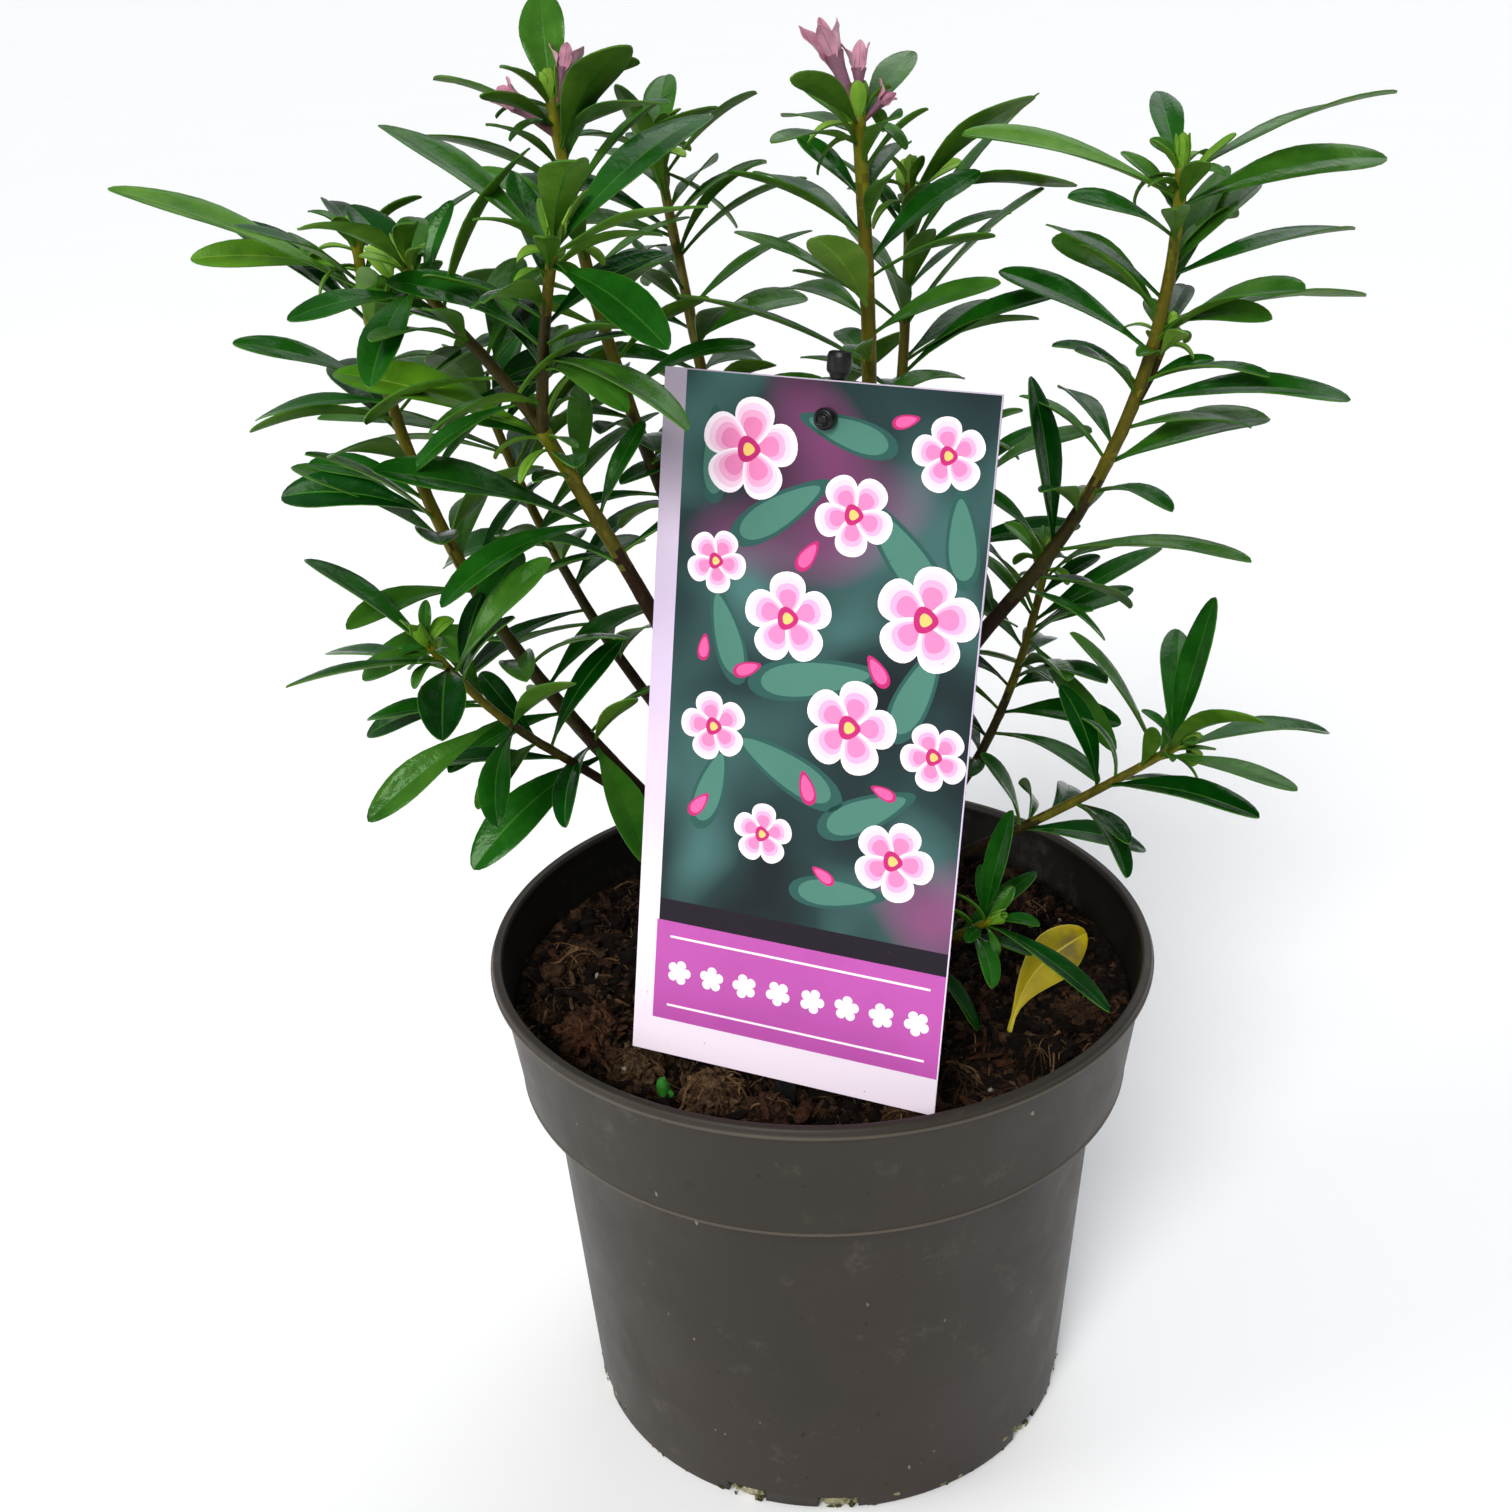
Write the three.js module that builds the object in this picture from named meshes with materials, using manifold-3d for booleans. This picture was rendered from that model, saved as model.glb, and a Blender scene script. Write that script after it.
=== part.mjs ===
// A young daphne shrub in its round nursery pot, with a plant card pinned to a stake.
// Units are millimetres, +Z is up, and the origin is the centre of the pot's flat underside.
// -Y is the front, where the card stands.  Azimuths are degrees from +X towards +Y.
import * as THREE from 'three';
import { mergeVertices } from 'three/addons/utils/BufferGeometryUtils.js';
import Module from 'manifold-3d';

const wasm = await Module();
wasm.setup();
const { Manifold, Mesh: RawMesh } = wasm;

// ---------------------------------------------------------------- driving dimensions
const GAP = 0.3;                    // clear space between pieces that touch

const POT = {
  height: 151, rimRadius: 95, baseRadius: 73.5, wall: 1.4, floor: 3.8,
  collarHeight: 38, collarFootRadius: 88.8, wallTopRadius: 81,
  lip: 2.2, lipHeight: 2.6, edge: 1, segments: 32,
};
// Pairs of drainage notches in the foot: first is one pair's azimuth, apart is how far each notch
// is turned from it, and relief is the shallow cut that runs across the whole pair.
const NOTCH = {
  pairs: 5, first: 261, apart: 10.5, width: 11.5, height: 5, relief: 43, reliefHeight: 1.2,
};
const PAD_RADIUS = 22;              // flat pad in the middle of the underside
const FOOT_WIDTH = 9;               // flat ring round the edge of the underside
const ARCH = 2.2;                   // how far the underside is raised between them

const SOIL_LEVEL = 134;             // compost surface at the trunk
const SOIL_LUMP = 2.2;              // height of its clods
const SOIL_RINGS = [70, 52, 34];    // radii at which its lumpy surface is shaped
const TRUNK = {
  footRadius: 10, topRadius: 6.4, length: 17,
  turn: [40, 40, 40], rise: [86, 86, 88],
};

const CARD = {
  width: 85, height: 180, thickness: 0.6,
  foot: [-11.4, -59.2, 141], yaw: -21, tilt: -11.8, roll: 1.1,
};
const PIN = { x: 0.5, z: 171, head: 2.7, headLength: 4.4, shank: 1.5, hole: 1.9, edge: 0.7 };
const STAKE = { x: 1.6, width: 6, thickness: 2.6, above: 7, below: 52, point: 9 };

const LEAF = { length: 56, slim: 0.2, extraWidth: 1.4, thickness: 0.02, root: 0.13 };
const GOLDEN = 137.5;               // degrees from one leaf to the next round a stem
const LIFT = 0.28;                  // how much every leaf turns towards the light
const CROWDING = 1.35;              // leaves stand closer towards the tip
const TOP_LEAVES = 3;               // the leaves that stand up round the bud
const OPEN = { top: 54, topStep: 5, upper: 46, lower: 8, power: 0.7 };   // degrees up from square
const HANG = { upper: 22, lower: 46 };      // degrees through which leaves arch, tip to foot
const REACH_ARCH = [20, 46];                // least and most arch of the furthest leaves
const SMALLEST = 19;                // shorter leaves, curled round the bud, are left out
const TURNS = [0, 9, -9, 18, -18, 27, -27];   // a leaf that would touch something tries these
const CLEAR = 0.5;                  // room that a leaf keeps to its neighbours
const BUD = { length: 8, sink: 1, foot: 0.9, swell: 1.5 };
const FLOWER = { tube: 13, foot: 0.9, neck: 1.2, mouth: 2.1, lobe: 8, spread: 4.4, cup: 0.6 };
const FALLEN = {
  foot: [52, -30], rest: 1.8, turn: 52, rise: 14,
  length: 48, width: 13, arch: 12, roll: 35,
};
const SEED = 11;
const STEP = 6;                     // a limb is walked in steps of about this length
const [BOUGH_SIDES, BOUGH_STEP] = [6, 16];
const [TWIG_SIDES, TWIG_STEP] = [4, 22];
const TWIG_THICK = [0.9, 0.7];      // a twig's radius at foot and tip, against its shoot's tip
const TWIG_BARE = 0.08;             // leafless share of a twig

// ---------------------------------------------------------------- the plant's limbs
// on: what the shoot grows from, at: how far along that;  turn: azimuth at foot, middle and tip;
// rise: degrees above level at foot, middle and tip;  thick: radius at foot and tip;
// bare: the leafless share, which is the bough;  leaves, size and phase: its seeded foliage;
// reach: its furthest leaves, each as how far along the stem, azimuth, rise and length, and its
// breadth where that differs from other leaves';  flowers: how far along the stem each one stands,
// the azimuth and degrees of its lean, and its size.
const SHOOTS = [
  { name: 'left_front', on: 'trunk', at: 0.8, turn: [188, 195, 234], rise: [66, 69, 58], length: 176,
    thick: [3.1, 2.1], bare: 0.7, leaves: 6, size: 0.9, phase: 20,
    reach: [[0.99, 166, 10, 60], [0.81, 205, 22, 60]],
    twigs: [
      { turn: [300, 310, 330], rise: [80, 76, 74], length: 45, leaves: 9, size: 0.85, phase: 70,
        reach: [[0.98, 150, 27, 56], [0.98, 40, 22, 60, 1.25], [0.96, 318, 15, 48], [0.9, 310, -17, 44],
          [0.4, 312, -8, 54], [0.99, 285, 32, 44], [0.7, 254, 10, 36]] },
      { turn: [174, 171, 166], rise: [58, 49, 53], length: 49, leaves: 10, size: 0.85, phase: 160,
        reach: [[0.98, 257, 20, 42], [0.88, 262, -18, 45], [0.75, 135, 25, 45]] },
    ] },
  { name: 'left_side', on: 'trunk', at: 0.7, turn: [181, 176, 168], rise: [40, 57, 90], length: 238,
    thick: [3.0, 1.6], bare: 0.34, leaves: 23, size: 0.88, phase: 193,
    reach: [[0.95, 200, 22, 64], [0.97, 170, 2, 48], [0.83, 170, -10, 42], [0.66, 160, 20, 52],
      [0.69, 235, 35, 46], [0.38, 300, 40, 32], [0.36, 223, -24, 50, 1.15],
      [0.38, 270, -28, 44, 1.15]] },
  { name: 'left_low', on: 'left_side', at: 0.23, turn: [200, 214, 224], rise: [44, 42, 60], length: 100,
    thick: [1.7, 1.2], bare: 0.36, leaves: 6, size: 0.75, phase: 60,
    reach: [[0.93, 145, 25, 48], [0.93, 230, 8, 44], [0.9, 165, -8, 42], [0.88, 67, 24, 46],
      [0.88, 335, 42, 42], [0.9, 277, 0, 44], [0.67, 213, -28, 44], [0.76, 178, -25, 38],
      [0.54, 250, -6, 34], [0.44, 180, -7, 42]] },
  { name: 'rear_left', on: 'trunk', at: 0.9, turn: [146, 155, 142], rise: [77, 64, 82], length: 240,
    thick: [2.9, 1.7], bare: 0.52, leaves: 20, size: 0.85, phase: 110,
    reach: [[0.99, 110, 64, 30, 1.5], [0.96, 315, 13, 44], [0.97, 242, 20, 30]],
    flowers: [[0.96, 192, 50, 1], [0.98, 40, 20, 0.95]] },
  { name: 'rear_inner', on: 'rear_left', at: 0.14, turn: [116, 118, 112], rise: [66, 68, 62], length: 194,
    thick: [2.4, 1.6], bare: 0.5, leaves: 19, size: 0.85, phase: 300,
    reach: [[0.98, 93, 30, 40], [0.97, 43, -35, 38]] },
  { name: 'centre', on: 'trunk', at: 1.0, turn: [34, 30, 160], rise: [82, 83, 87], length: 222,
    thick: [3.0, 2.0], bare: 0.5, leaves: 11, size: 0.75, phase: 15,
    reach: [[0.99, 60, 22, 38], [0.99, 246, 22, 38], [0.98, 122, 3, 38], [0.97, 238, 7, 38],
      [0.79, 252, 33, 44], [0.87, 137, 15, 46], [0.73, 200, 22, 54]],
    flowers: [[1, 180, 23, 1.2], [1, 80, 6, 0.85], [0.99, 15, 48, 0.6]] },
  { name: 'centre_rear', on: 'centre', at: 0.1, turn: [64, 60, 84], rise: [64, 70, 80], length: 188,
    thick: [2.3, 1.5], bare: 0.5, leaves: 10, size: 0.8, phase: 220,
    reach: [[0.98, 318, 6, 52], [0.8, 323, 42, 54], [0.73, 332, 27, 52], [0.97, 307, 34, 50],
      [0.84, 275, 40, 34], [0.9, 350, 45, 54]] },
  { name: 'right', on: 'trunk', at: 0.8, turn: [-2, 4, 14], rise: [77, 49, 92], length: 234,
    thick: [3.1, 1.7], bare: 0.44, leaves: 8, size: 0.75, phase: 140,
    reach: [[0.99, 20, 14, 64], [0.96, 18, 7, 60], [0.89, 15, 6, 54], [0.82, 305, 23, 48],
      [0.84, 10, 3, 56], [0.75, 332, 2, 54], [0.68, 8, 3, 50], [0.86, 50, 38, 46, 1.3],
      [0.97, 195, 17, 58], [0.81, 152, 18, 48], [0.85, 132, 20, 42], [0.93, 222, 18, 38],
      [0.99, 95, 30, 34], [0.57, 325, 6, 54], [0.57, 215, 70, 46]],
    twigs: [
      { at: 0.74, turn: [30, 10, 0], rise: [50, 66, 76], length: 22, leaves: 5, size: 0.6, phase: 0 },
    ] },
  { name: 'right_rear', on: 'right', at: 0.08, turn: [20, 32, 50], rise: [12, 56, 74], length: 116,
    thick: [2.0, 1.3], bare: 0.42, leaves: 12, size: 0.75, phase: 30,
    reach: [[0.84, 356, 26, 42], [0.8, 304, -38, 42], [0.7, 295, 18, 46]] },
  { name: 'right_low', on: 'trunk', at: 0.6, turn: [-24, -10, -8], rise: [52, 30, 36], length: 122,
    thick: [2.0, 1.3], bare: 0.5, leaves: 5, size: 0.7, phase: 250,
    reach: [[0.98, 290, 62, 44], [0.98, 75, 25, 44], [0.97, 284, 30, 44], [0.98, 10, -4, 48],
      [0.96, 306, 6, 42], [0.82, 309, 5, 46], [0.95, 205, 50, 44], [0.6, 6, -22, 42]] },
  { name: 'right_foot', on: 'trunk', at: 0.4, turn: [-50, -48, -46], rise: [24, 32, 40], length: 78,
    thick: [1.5, 1.1], bare: 0.35, leaves: 7, size: 0.7, phase: 10,
    reach: [[0.95, 290, 64, 34], [0.96, 303, -4, 46]] },
  { name: 'back_left', on: 'rear_left', at: 0.1, turn: [168, 150, 140], rise: [40, 52, 68], length: 168,
    thick: [2.2, 1.4], bare: 0.42, leaves: 17, size: 0.95, phase: 80 },
  { name: 'back', on: 'centre', at: 0.06, turn: [100, 98, 96], rise: [50, 56, 70], length: 142,
    thick: [2.2, 1.4], bare: 0.4, leaves: 16, size: 0.95, phase: 130 },
  { name: 'back_right', on: 'right', at: 0.08, turn: [62, 58, 50], rise: [40, 54, 66], length: 140,
    thick: [2.2, 1.4], bare: 0.4, leaves: 15, size: 0.9, phase: 340 },
  { name: 'front', on: 'trunk', at: 0.5, turn: [264, 262, 258], rise: [48, 74, 86], length: 104,
    thick: [1.7, 1.2], bare: 0.3, leaves: 10, size: 0.72, phase: 200 },
];

// ---------------------------------------------------------------- small helpers
const rad = THREE.MathUtils.degToRad;
const UP = new THREE.Vector3(0, 0, 1);
const LIGHT = new THREE.Vector3(0, -0.45, 1).normalize();   // leaves face a light above the front
const SIDEWAYS = new THREE.Vector3(0, 1, 0);

function dice(seed) {
  let state = seed;
  return (low, high) => {
    state = (state * 1664525 + 1013904223) % 4294967296;
    return low + (high - low) * (state / 4294967296);
  };
}

// The value at u, 0 to 1, of something known at the foot, the middle and the tip.
function along([foot, middle, tip], u) {
  if (u < 0.5) return foot + (middle - foot) * 2 * u;
  return middle + (tip - middle) * (2 * u - 1);
}

function heading(azimuth, rise) {
  const level = Math.cos(rad(rise));
  const [east, north] = [Math.cos(rad(azimuth)), Math.sin(rad(azimuth))];
  return new THREE.Vector3(level * east, level * north, Math.sin(rad(rise)));
}

// A limb's course: spot(u) is a point on it and way(u) its direction there.
function course(start, { turn, rise, length }) {
  const steps = Math.ceil(length / STEP);
  const points = [start.clone()];
  for (let i = 0; i < steps; i += 1) {
    const u = (i + 0.5) / steps;
    const step = heading(along(turn, u), along(rise, u)).multiplyScalar(length / steps);
    points.push(points[i].clone().add(step));
  }
  const spot = (u) => {
    const place = Math.min(Math.max(u, 0), 1) * steps;
    const i = Math.min(Math.floor(place), steps - 1);
    return points[i].clone().lerp(points[i + 1], place - i);
  };
  const way = (u) => heading(along(turn, u), along(rise, u));
  return { spot, way, length };
}

// Two directions across a limb that runs towards way.
function across(way) {
  const east = SIDEWAYS.clone().cross(way).normalize();
  return [east, way.clone().cross(east)];
}

// ---------------------------------------------------------------- solids
function solidOf(geometry) {
  geometry.deleteAttribute('normal');
  geometry.deleteAttribute('uv');
  const merged = mergeVertices(geometry, 1e-4);
  return new Manifold(new RawMesh({
    numProp: 3,
    vertProperties: new Float32Array(merged.attributes.position.array),
    triVerts: new Uint32Array(merged.index.array),
  }));
}

// A cylinder of rings, each vertex moved to place(x, z, f): x and z on the unit circle, f from 0 to 1.
function rings(sides, steps, pointed, place) {
  const geometry = new THREE.CylinderGeometry(pointed ? 0 : 1, 1, 1, sides, steps);
  const position = geometry.attributes.position;
  for (let i = 0; i < position.count; i += 1) {
    const f = position.getY(i) + 0.5;
    const ring = pointed ? Math.max(1 - f, 1e-9) : 1;
    const apex = pointed && f > 0.9999;
    const centre = Math.hypot(position.getX(i), position.getZ(i)) < 1e-6;
    const x = apex || centre ? 0 : position.getX(i) / ring;
    const z = apex || centre ? 0 : position.getZ(i) / ring;
    const point = place(x, z, f);
    position.setXYZ(i, point.x, point.y, point.z);
  }
  return solidOf(geometry);
}

// A round limb from u = from to u = to along its course.
function limb(line, from, to, radius, sides, spacing, pointed = false) {
  const steps = Math.max(1, Math.round((to - from) * line.length / spacing));
  return rings(sides, steps, pointed, (x, z, f) => {
    const u = from + (to - from) * f;
    const [east, north] = across(line.way(u));
    return line.spot(u).addScaledVector(east, x * radius(u)).addScaledVector(north, -z * radius(u));
  });
}

// Half the width of a leaf along its length, as a share of the widest: narrow foot, short tip.
const OUTLINE = [[0, LEAF.root], [0.42, 0.74], [0.76, 1], [1, 0]];

function outline(s) {
  const i = OUTLINE.findIndex(([end]) => end >= s - 1e-6);
  if (i <= 0) return OUTLINE[0][1];
  const [s0, w0] = OUTLINE[i - 1];
  const [s1, w1] = OUTLINE[i];
  return w0 + (w1 - w0) * (s - s0) / (s1 - s0);
}

// A leaf blade: flat above, keeled below, bending away from the light by arch degrees.
function leafSolid({ foot, way, light, length, width, arch, roll }, grow = 0) {
  const stations = OUTLINE.map(([s]) => s);
  const side = way.clone().cross(light).normalize();
  const above = side.clone().cross(way);
  side.applyAxisAngle(way, rad(roll));
  above.applyAxisAngle(way, rad(roll));
  const thickness = length * LEAF.thickness + 2 * grow;
  return rings(3, stations.length - 1, true, (x, z, f) => {
    const s = stations[Math.round(f * (stations.length - 1))];
    const bend = rad(arch) * s;
    const reach = (length + grow) * s;
    const straight = bend > 1e-6 ? Math.sin(bend) / bend : 1;
    const drop = bend > 1e-6 ? (1 - Math.cos(bend)) / bend : 0;
    const half = width / 2 * outline(s) + (s < 1 ? grow : 0);
    const depth = thickness * (0.5 + 0.5 * outline(s));
    const up = above.clone().multiplyScalar(Math.cos(bend)).addScaledVector(way, Math.sin(bend));
    const sink = z > 0 ? depth : 0;
    return foot.clone()
      .addScaledVector(way, reach * straight)
      .addScaledVector(above, -reach * drop)
      .addScaledVector(side, -x / Math.sin(Math.PI / 3) * half)
      .addScaledVector(up, grow - sink);
  });
}

const group = new THREE.Group();

function addMesh(name, solid, material) {
  const mesh = solid.getMesh();
  const corners = new Float32Array(mesh.vertProperties);
  const geometry = new THREE.BufferGeometry();
  geometry.setAttribute('position', new THREE.BufferAttribute(corners, 3));
  geometry.setIndex(new THREE.BufferAttribute(new Uint32Array(mesh.triVerts), 1));
  geometry.computeVertexNormals();
  const object = new THREE.Mesh(geometry, material);
  object.name = name;
  group.add(object);
}

// The largest body of a solid: loose scraps that a cut leaves are dropped.
function mainBody(solid) {
  const bodies = solid.decompose();
  return bodies.reduce((best, body) => (body.volume() > best.volume() ? body : best));
}

const paint = (color, roughness) => new THREE.MeshStandardMaterial({ color, roughness, metalness: 0 });
const potPaint = paint(0x504a44, 0.5);
const soilPaint = paint(0x3a2a20, 0.95);
const barkPaint = paint(0x5a3d28, 0.75);
const leafPaint = paint(0x2e6b2a, 0.4);
const cardPaint = paint(0xd9b8dd, 0.3);
const blackPaint = paint(0x17181a, 0.4);
const yellowPaint = paint(0xc9b92e, 0.5);

// Everything placed so far, for the test that keeps a new leaf clear of it.
const placed = [];

function occupy(owner, solid) {
  placed.push({ owner, solid, box: solid.boundingBox() });
}

function apart(a, b) {
  return [0, 1, 2].some((k) => a.min[k] > b.max[k] || b.min[k] > a.max[k]);
}

function touches(solid, owner) {
  const box = solid.boundingBox();
  return placed.some((other) => other.owner !== owner && !apart(box, other.box)
    && !solid.intersect(other.solid).isEmpty());
}

// ---------------------------------------------------------------- pot
// A round piece about the Z axis with this profile of [radius, height] points.
function turned(profile, segments) {
  const lathe = new THREE.LatheGeometry(profile.map(([r, z]) => new THREE.Vector2(r, z)), segments);
  return lathe.rotateX(Math.PI / 2);
}

const collarFoot = POT.height - POT.collarHeight;

// The profile of the pot's inside, from the middle of its floor to its rim, drawn in by inset.
function inside(inset = 0) {
  return [
    [0, POT.floor], [POT.baseRadius, POT.floor], [POT.wallTopRadius, collarFoot + POT.wall],
    [POT.collarFootRadius, collarFoot + POT.wall + POT.edge], [POT.rimRadius - POT.lip, POT.height],
  ].map(([r, z]) => [Math.max(r - POT.wall - inset, 0), Math.min(z + inset, POT.height)]);
}

function potSolid() {
  const lipFoot = POT.height - POT.lipHeight;
  const profile = [
    [0, 0], [PAD_RADIUS, 0], [PAD_RADIUS + ARCH, ARCH],
    [POT.baseRadius - FOOT_WIDTH - ARCH, ARCH], [POT.baseRadius - FOOT_WIDTH, 0],
    [POT.baseRadius - POT.edge, 0], [POT.baseRadius, POT.edge],
    [POT.wallTopRadius, collarFoot], [POT.collarFootRadius, collarFoot + POT.edge],
    [POT.rimRadius - POT.lip, lipFoot - POT.edge], [POT.rimRadius, lipFoot],
    [POT.rimRadius, POT.height - POT.edge], [POT.rimRadius - POT.edge, POT.height],
    ...inside().reverse(),
  ];
  const cuts = [[-NOTCH.apart, NOTCH.width, NOTCH.height], [NOTCH.apart, NOTCH.width, NOTCH.height],
    [0, NOTCH.relief, NOTCH.reliefHeight]];
  const cutters = [];
  for (let i = 0; i < NOTCH.pairs; i += 1) {
    for (const [turn, width, height] of cuts) {
      const cutter = new THREE.BoxGeometry(2 * FOOT_WIDTH, width, 2 * height);
      cutter.translate(POT.baseRadius, 0, 0);
      cutter.rotateZ(rad(NOTCH.first + turn + i * 360 / NOTCH.pairs));
      cutters.push(solidOf(cutter));
    }
  }
  return solidOf(turned(profile, POT.segments)).subtract(Manifold.union(cutters));
}

// ---------------------------------------------------------------- compost
function lumps(x, y) {
  const waves = [0.23 * x + 0.11 * y, 0.29 * y - 0.13 * x + 1.7, 0.41 * x + 0.37 * y];
  return SOIL_LUMP * waves.reduce((sum, wave) => sum + Math.sin(wave), 0) / waves.length;
}

// The compost fills the pot; its surface is level at the wall and at the trunk, and lumpy between.
function soilSolid() {
  const top = SOIL_LEVEL - GAP;
  const wall = inside(1.2 * GAP);
  const rim = wall.pop();
  const collar = wall[wall.length - 1];
  const share = (top - SOIL_LUMP - collar[1]) / (rim[1] - collar[1]);
  const edge = collar[0] + (rim[0] - collar[0]) * share;
  const seat = TRUNK.footRadius + 3;
  const profile = [...wall, [edge, top - SOIL_LUMP]];
  for (const r of [edge - SOIL_LUMP, ...SOIL_RINGS, seat, 0]) profile.push([r, top]);
  const geometry = turned(profile, POT.segments);
  const position = geometry.attributes.position;
  for (let i = 0; i < position.count; i += 1) {
    const [x, y, z] = [position.getX(i), position.getY(i), position.getZ(i)];
    const onRing = SOIL_RINGS.some((r) => Math.abs(Math.hypot(x, y) - r) < 1e-3);
    if (onRing && z > top - 1e-3) position.setZ(i, z + lumps(x, y));
  }
  return solidOf(geometry);
}

// ---------------------------------------------------------------- card, pin and stake
// The card's own frame: X across it, Z up it, and -Y in front of it, from the middle of its lower edge.
const cardAngles = new THREE.Euler(rad(CARD.tilt), rad(CARD.roll), rad(CARD.yaw), 'ZXY');
const cardFrame = new THREE.Matrix4().makeRotationFromEuler(cardAngles).setPosition(...CARD.foot);

// A flat plate with this outline of [x, z] corners, its front at y = front.
function plate(corners, front, thickness, hole) {
  const shape = new THREE.Shape(corners.map(([x, z]) => new THREE.Vector2(x, z)));
  if (hole) shape.holes.push(hole);
  const options = { depth: thickness, bevelEnabled: false, curveSegments: 4 };
  const geometry = new THREE.ExtrudeGeometry(shape, options);
  geometry.rotateX(Math.PI / 2);
  geometry.translate(0, front + thickness, 0);
  return solidOf(geometry.applyMatrix4(cardFrame));
}

function cardSolid() {
  const half = CARD.width / 2;
  const hole = new THREE.Path();
  hole.absarc(PIN.x, PIN.z, PIN.hole, 0, 2 * Math.PI, true);
  const corners = [[-half, 0], [half, 0], [half, CARD.height], [-half, CARD.height]];
  return plate(corners, -CARD.thickness, CARD.thickness, hole);
}

function stakeSolid(grow = 0) {
  const half = STAKE.width / 2 + grow;
  const [left, right] = [STAKE.x - half, STAKE.x + half];
  const top = CARD.height + STAKE.above + grow;
  const foot = -STAKE.below - grow;
  const shoulder = foot + STAKE.point;
  const corners = [[left, top], [left, shoulder], [STAKE.x, foot], [right, shoulder], [right, top]];
  return plate(corners, GAP - grow, STAKE.thickness + 2 * grow);
}

// The pin's shank stands in the card's hole and its round head in front of the card.
function pinSolid() {
  const seat = CARD.thickness + GAP;
  const profile = [[0, 0], [PIN.shank, 0], [PIN.shank, seat], [PIN.head, seat],
    [PIN.head, PIN.headLength - PIN.edge], [PIN.head - PIN.edge, PIN.headLength], [0, PIN.headLength]];
  const geometry = turned(profile, 12).rotateX(Math.PI / 2);
  geometry.translate(PIN.x, 0, PIN.z);
  return solidOf(geometry.applyMatrix4(cardFrame));
}

// ---------------------------------------------------------------- trunk and boughs
const trunkLine = course(new THREE.Vector3(0, 0, SOIL_LEVEL), TRUNK);

function trunkRadius(u) {
  const flare = (1 - u) ** 3;
  return TRUNK.topRadius + (TRUNK.footRadius - TRUNK.topRadius) * flare;
}

// The trunk's rings lie level, so that its cut at the compost is flat.
function trunkSolid(grow = 0) {
  return rings(10, 4, false, (x, z, f) => {
    const radius = trunkRadius(f) + grow;
    const end = f < 0.01 ? -grow : f > 0.99 ? grow : 0;
    return trunkLine.spot(f).add(new THREE.Vector3(x * radius, -z * radius, end));
  });
}

const lines = { trunk: trunkLine };
for (const shoot of SHOOTS) {
  lines[shoot.name] = course(lines[shoot.on].spot(shoot.at), shoot);
}

function thickness([foot, tip], grow = 0) {
  return (u) => foot + (tip - foot) * u + grow;
}

function boughSolid(shoot, grow = 0) {
  const line = lines[shoot.name];
  const tip = shoot.bare + grow / line.length;
  return limb(line, 0, tip, thickness(shoot.thick, grow), BOUGH_SIDES, BOUGH_STEP);
}

// ---------------------------------------------------------------- foliage
// The size of the leaf that is i-th from the tip, against a full one.
function leafSize(i, count) {
  return Math.min(1, 0.3 + 0.18 * i) * (1 - 0.25 * i / count);
}

// The leaves of one leafy stem, as the numbers leafSolid needs: the furthest ones, then the
// seeded ones in a spiral from its tip down.
function leavesOf(line, bare, { leaves, size, phase, reach = [] }, roll) {
  const list = reach.map(([u, azimuth, rise, length, breadth = 1]) => {
    const arch = roll(...REACH_ARCH);
    const width = (length * LEAF.slim * roll(0.95, 1.1) + LEAF.extraWidth) * breadth;
    const way = heading(azimuth, rise + arch / 2);
    return { foot: line.spot(u), way, light: LIGHT, length, width, arch, roll: roll(-18, 18) };
  });
  for (let i = 0; i < leaves; i += 1) {
    const down = ((i + 0.15) / leaves) ** CROWDING;
    const u = 1 - (1 - bare) * down * 0.97;
    const around = rad(phase + GOLDEN * i + roll(-9, 9));
    const spread = OPEN.upper + (OPEN.lower - OPEN.upper) * (i / leaves) ** OPEN.power;
    const open = rad(i < TOP_LEAVES ? OPEN.top - OPEN.topStep * i : spread + roll(-8, 8));
    const stem = line.way(u);
    const [east, north] = across(stem);
    const way = east.multiplyScalar(Math.cos(around)).addScaledVector(north, Math.sin(around))
      .multiplyScalar(Math.cos(open)).addScaledVector(stem, Math.sin(open))
      .addScaledVector(UP, LIFT).normalize();
    const length = LEAF.length * size * leafSize(i, leaves) * roll(0.88, 1.12);
    const width = length * LEAF.slim * roll(0.92, 1.15) + LEAF.extraWidth;
    const arch = HANG.upper + (HANG.lower - HANG.upper) * i / leaves + roll(-8, 12);
    const light = stem.add(LIGHT).normalize();
    list.push({ foot: line.spot(u), way, light, length, width, arch, roll: roll(-22, 22) });
  }
  return list;
}

function budSolid(line, radius) {
  const tip = line.spot(1);
  const way = line.way(1);
  const [east, north] = across(way);
  return rings(TWIG_SIDES, 2, true, (x, z, f) => {
    const swell = radius * (f < 0.25 ? BUD.foot : BUD.swell);
    return tip.clone().addScaledVector(way, BUD.length * f - BUD.sink)
      .addScaledVector(east, x * swell).addScaledVector(north, -z * swell);
  });
}

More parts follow.
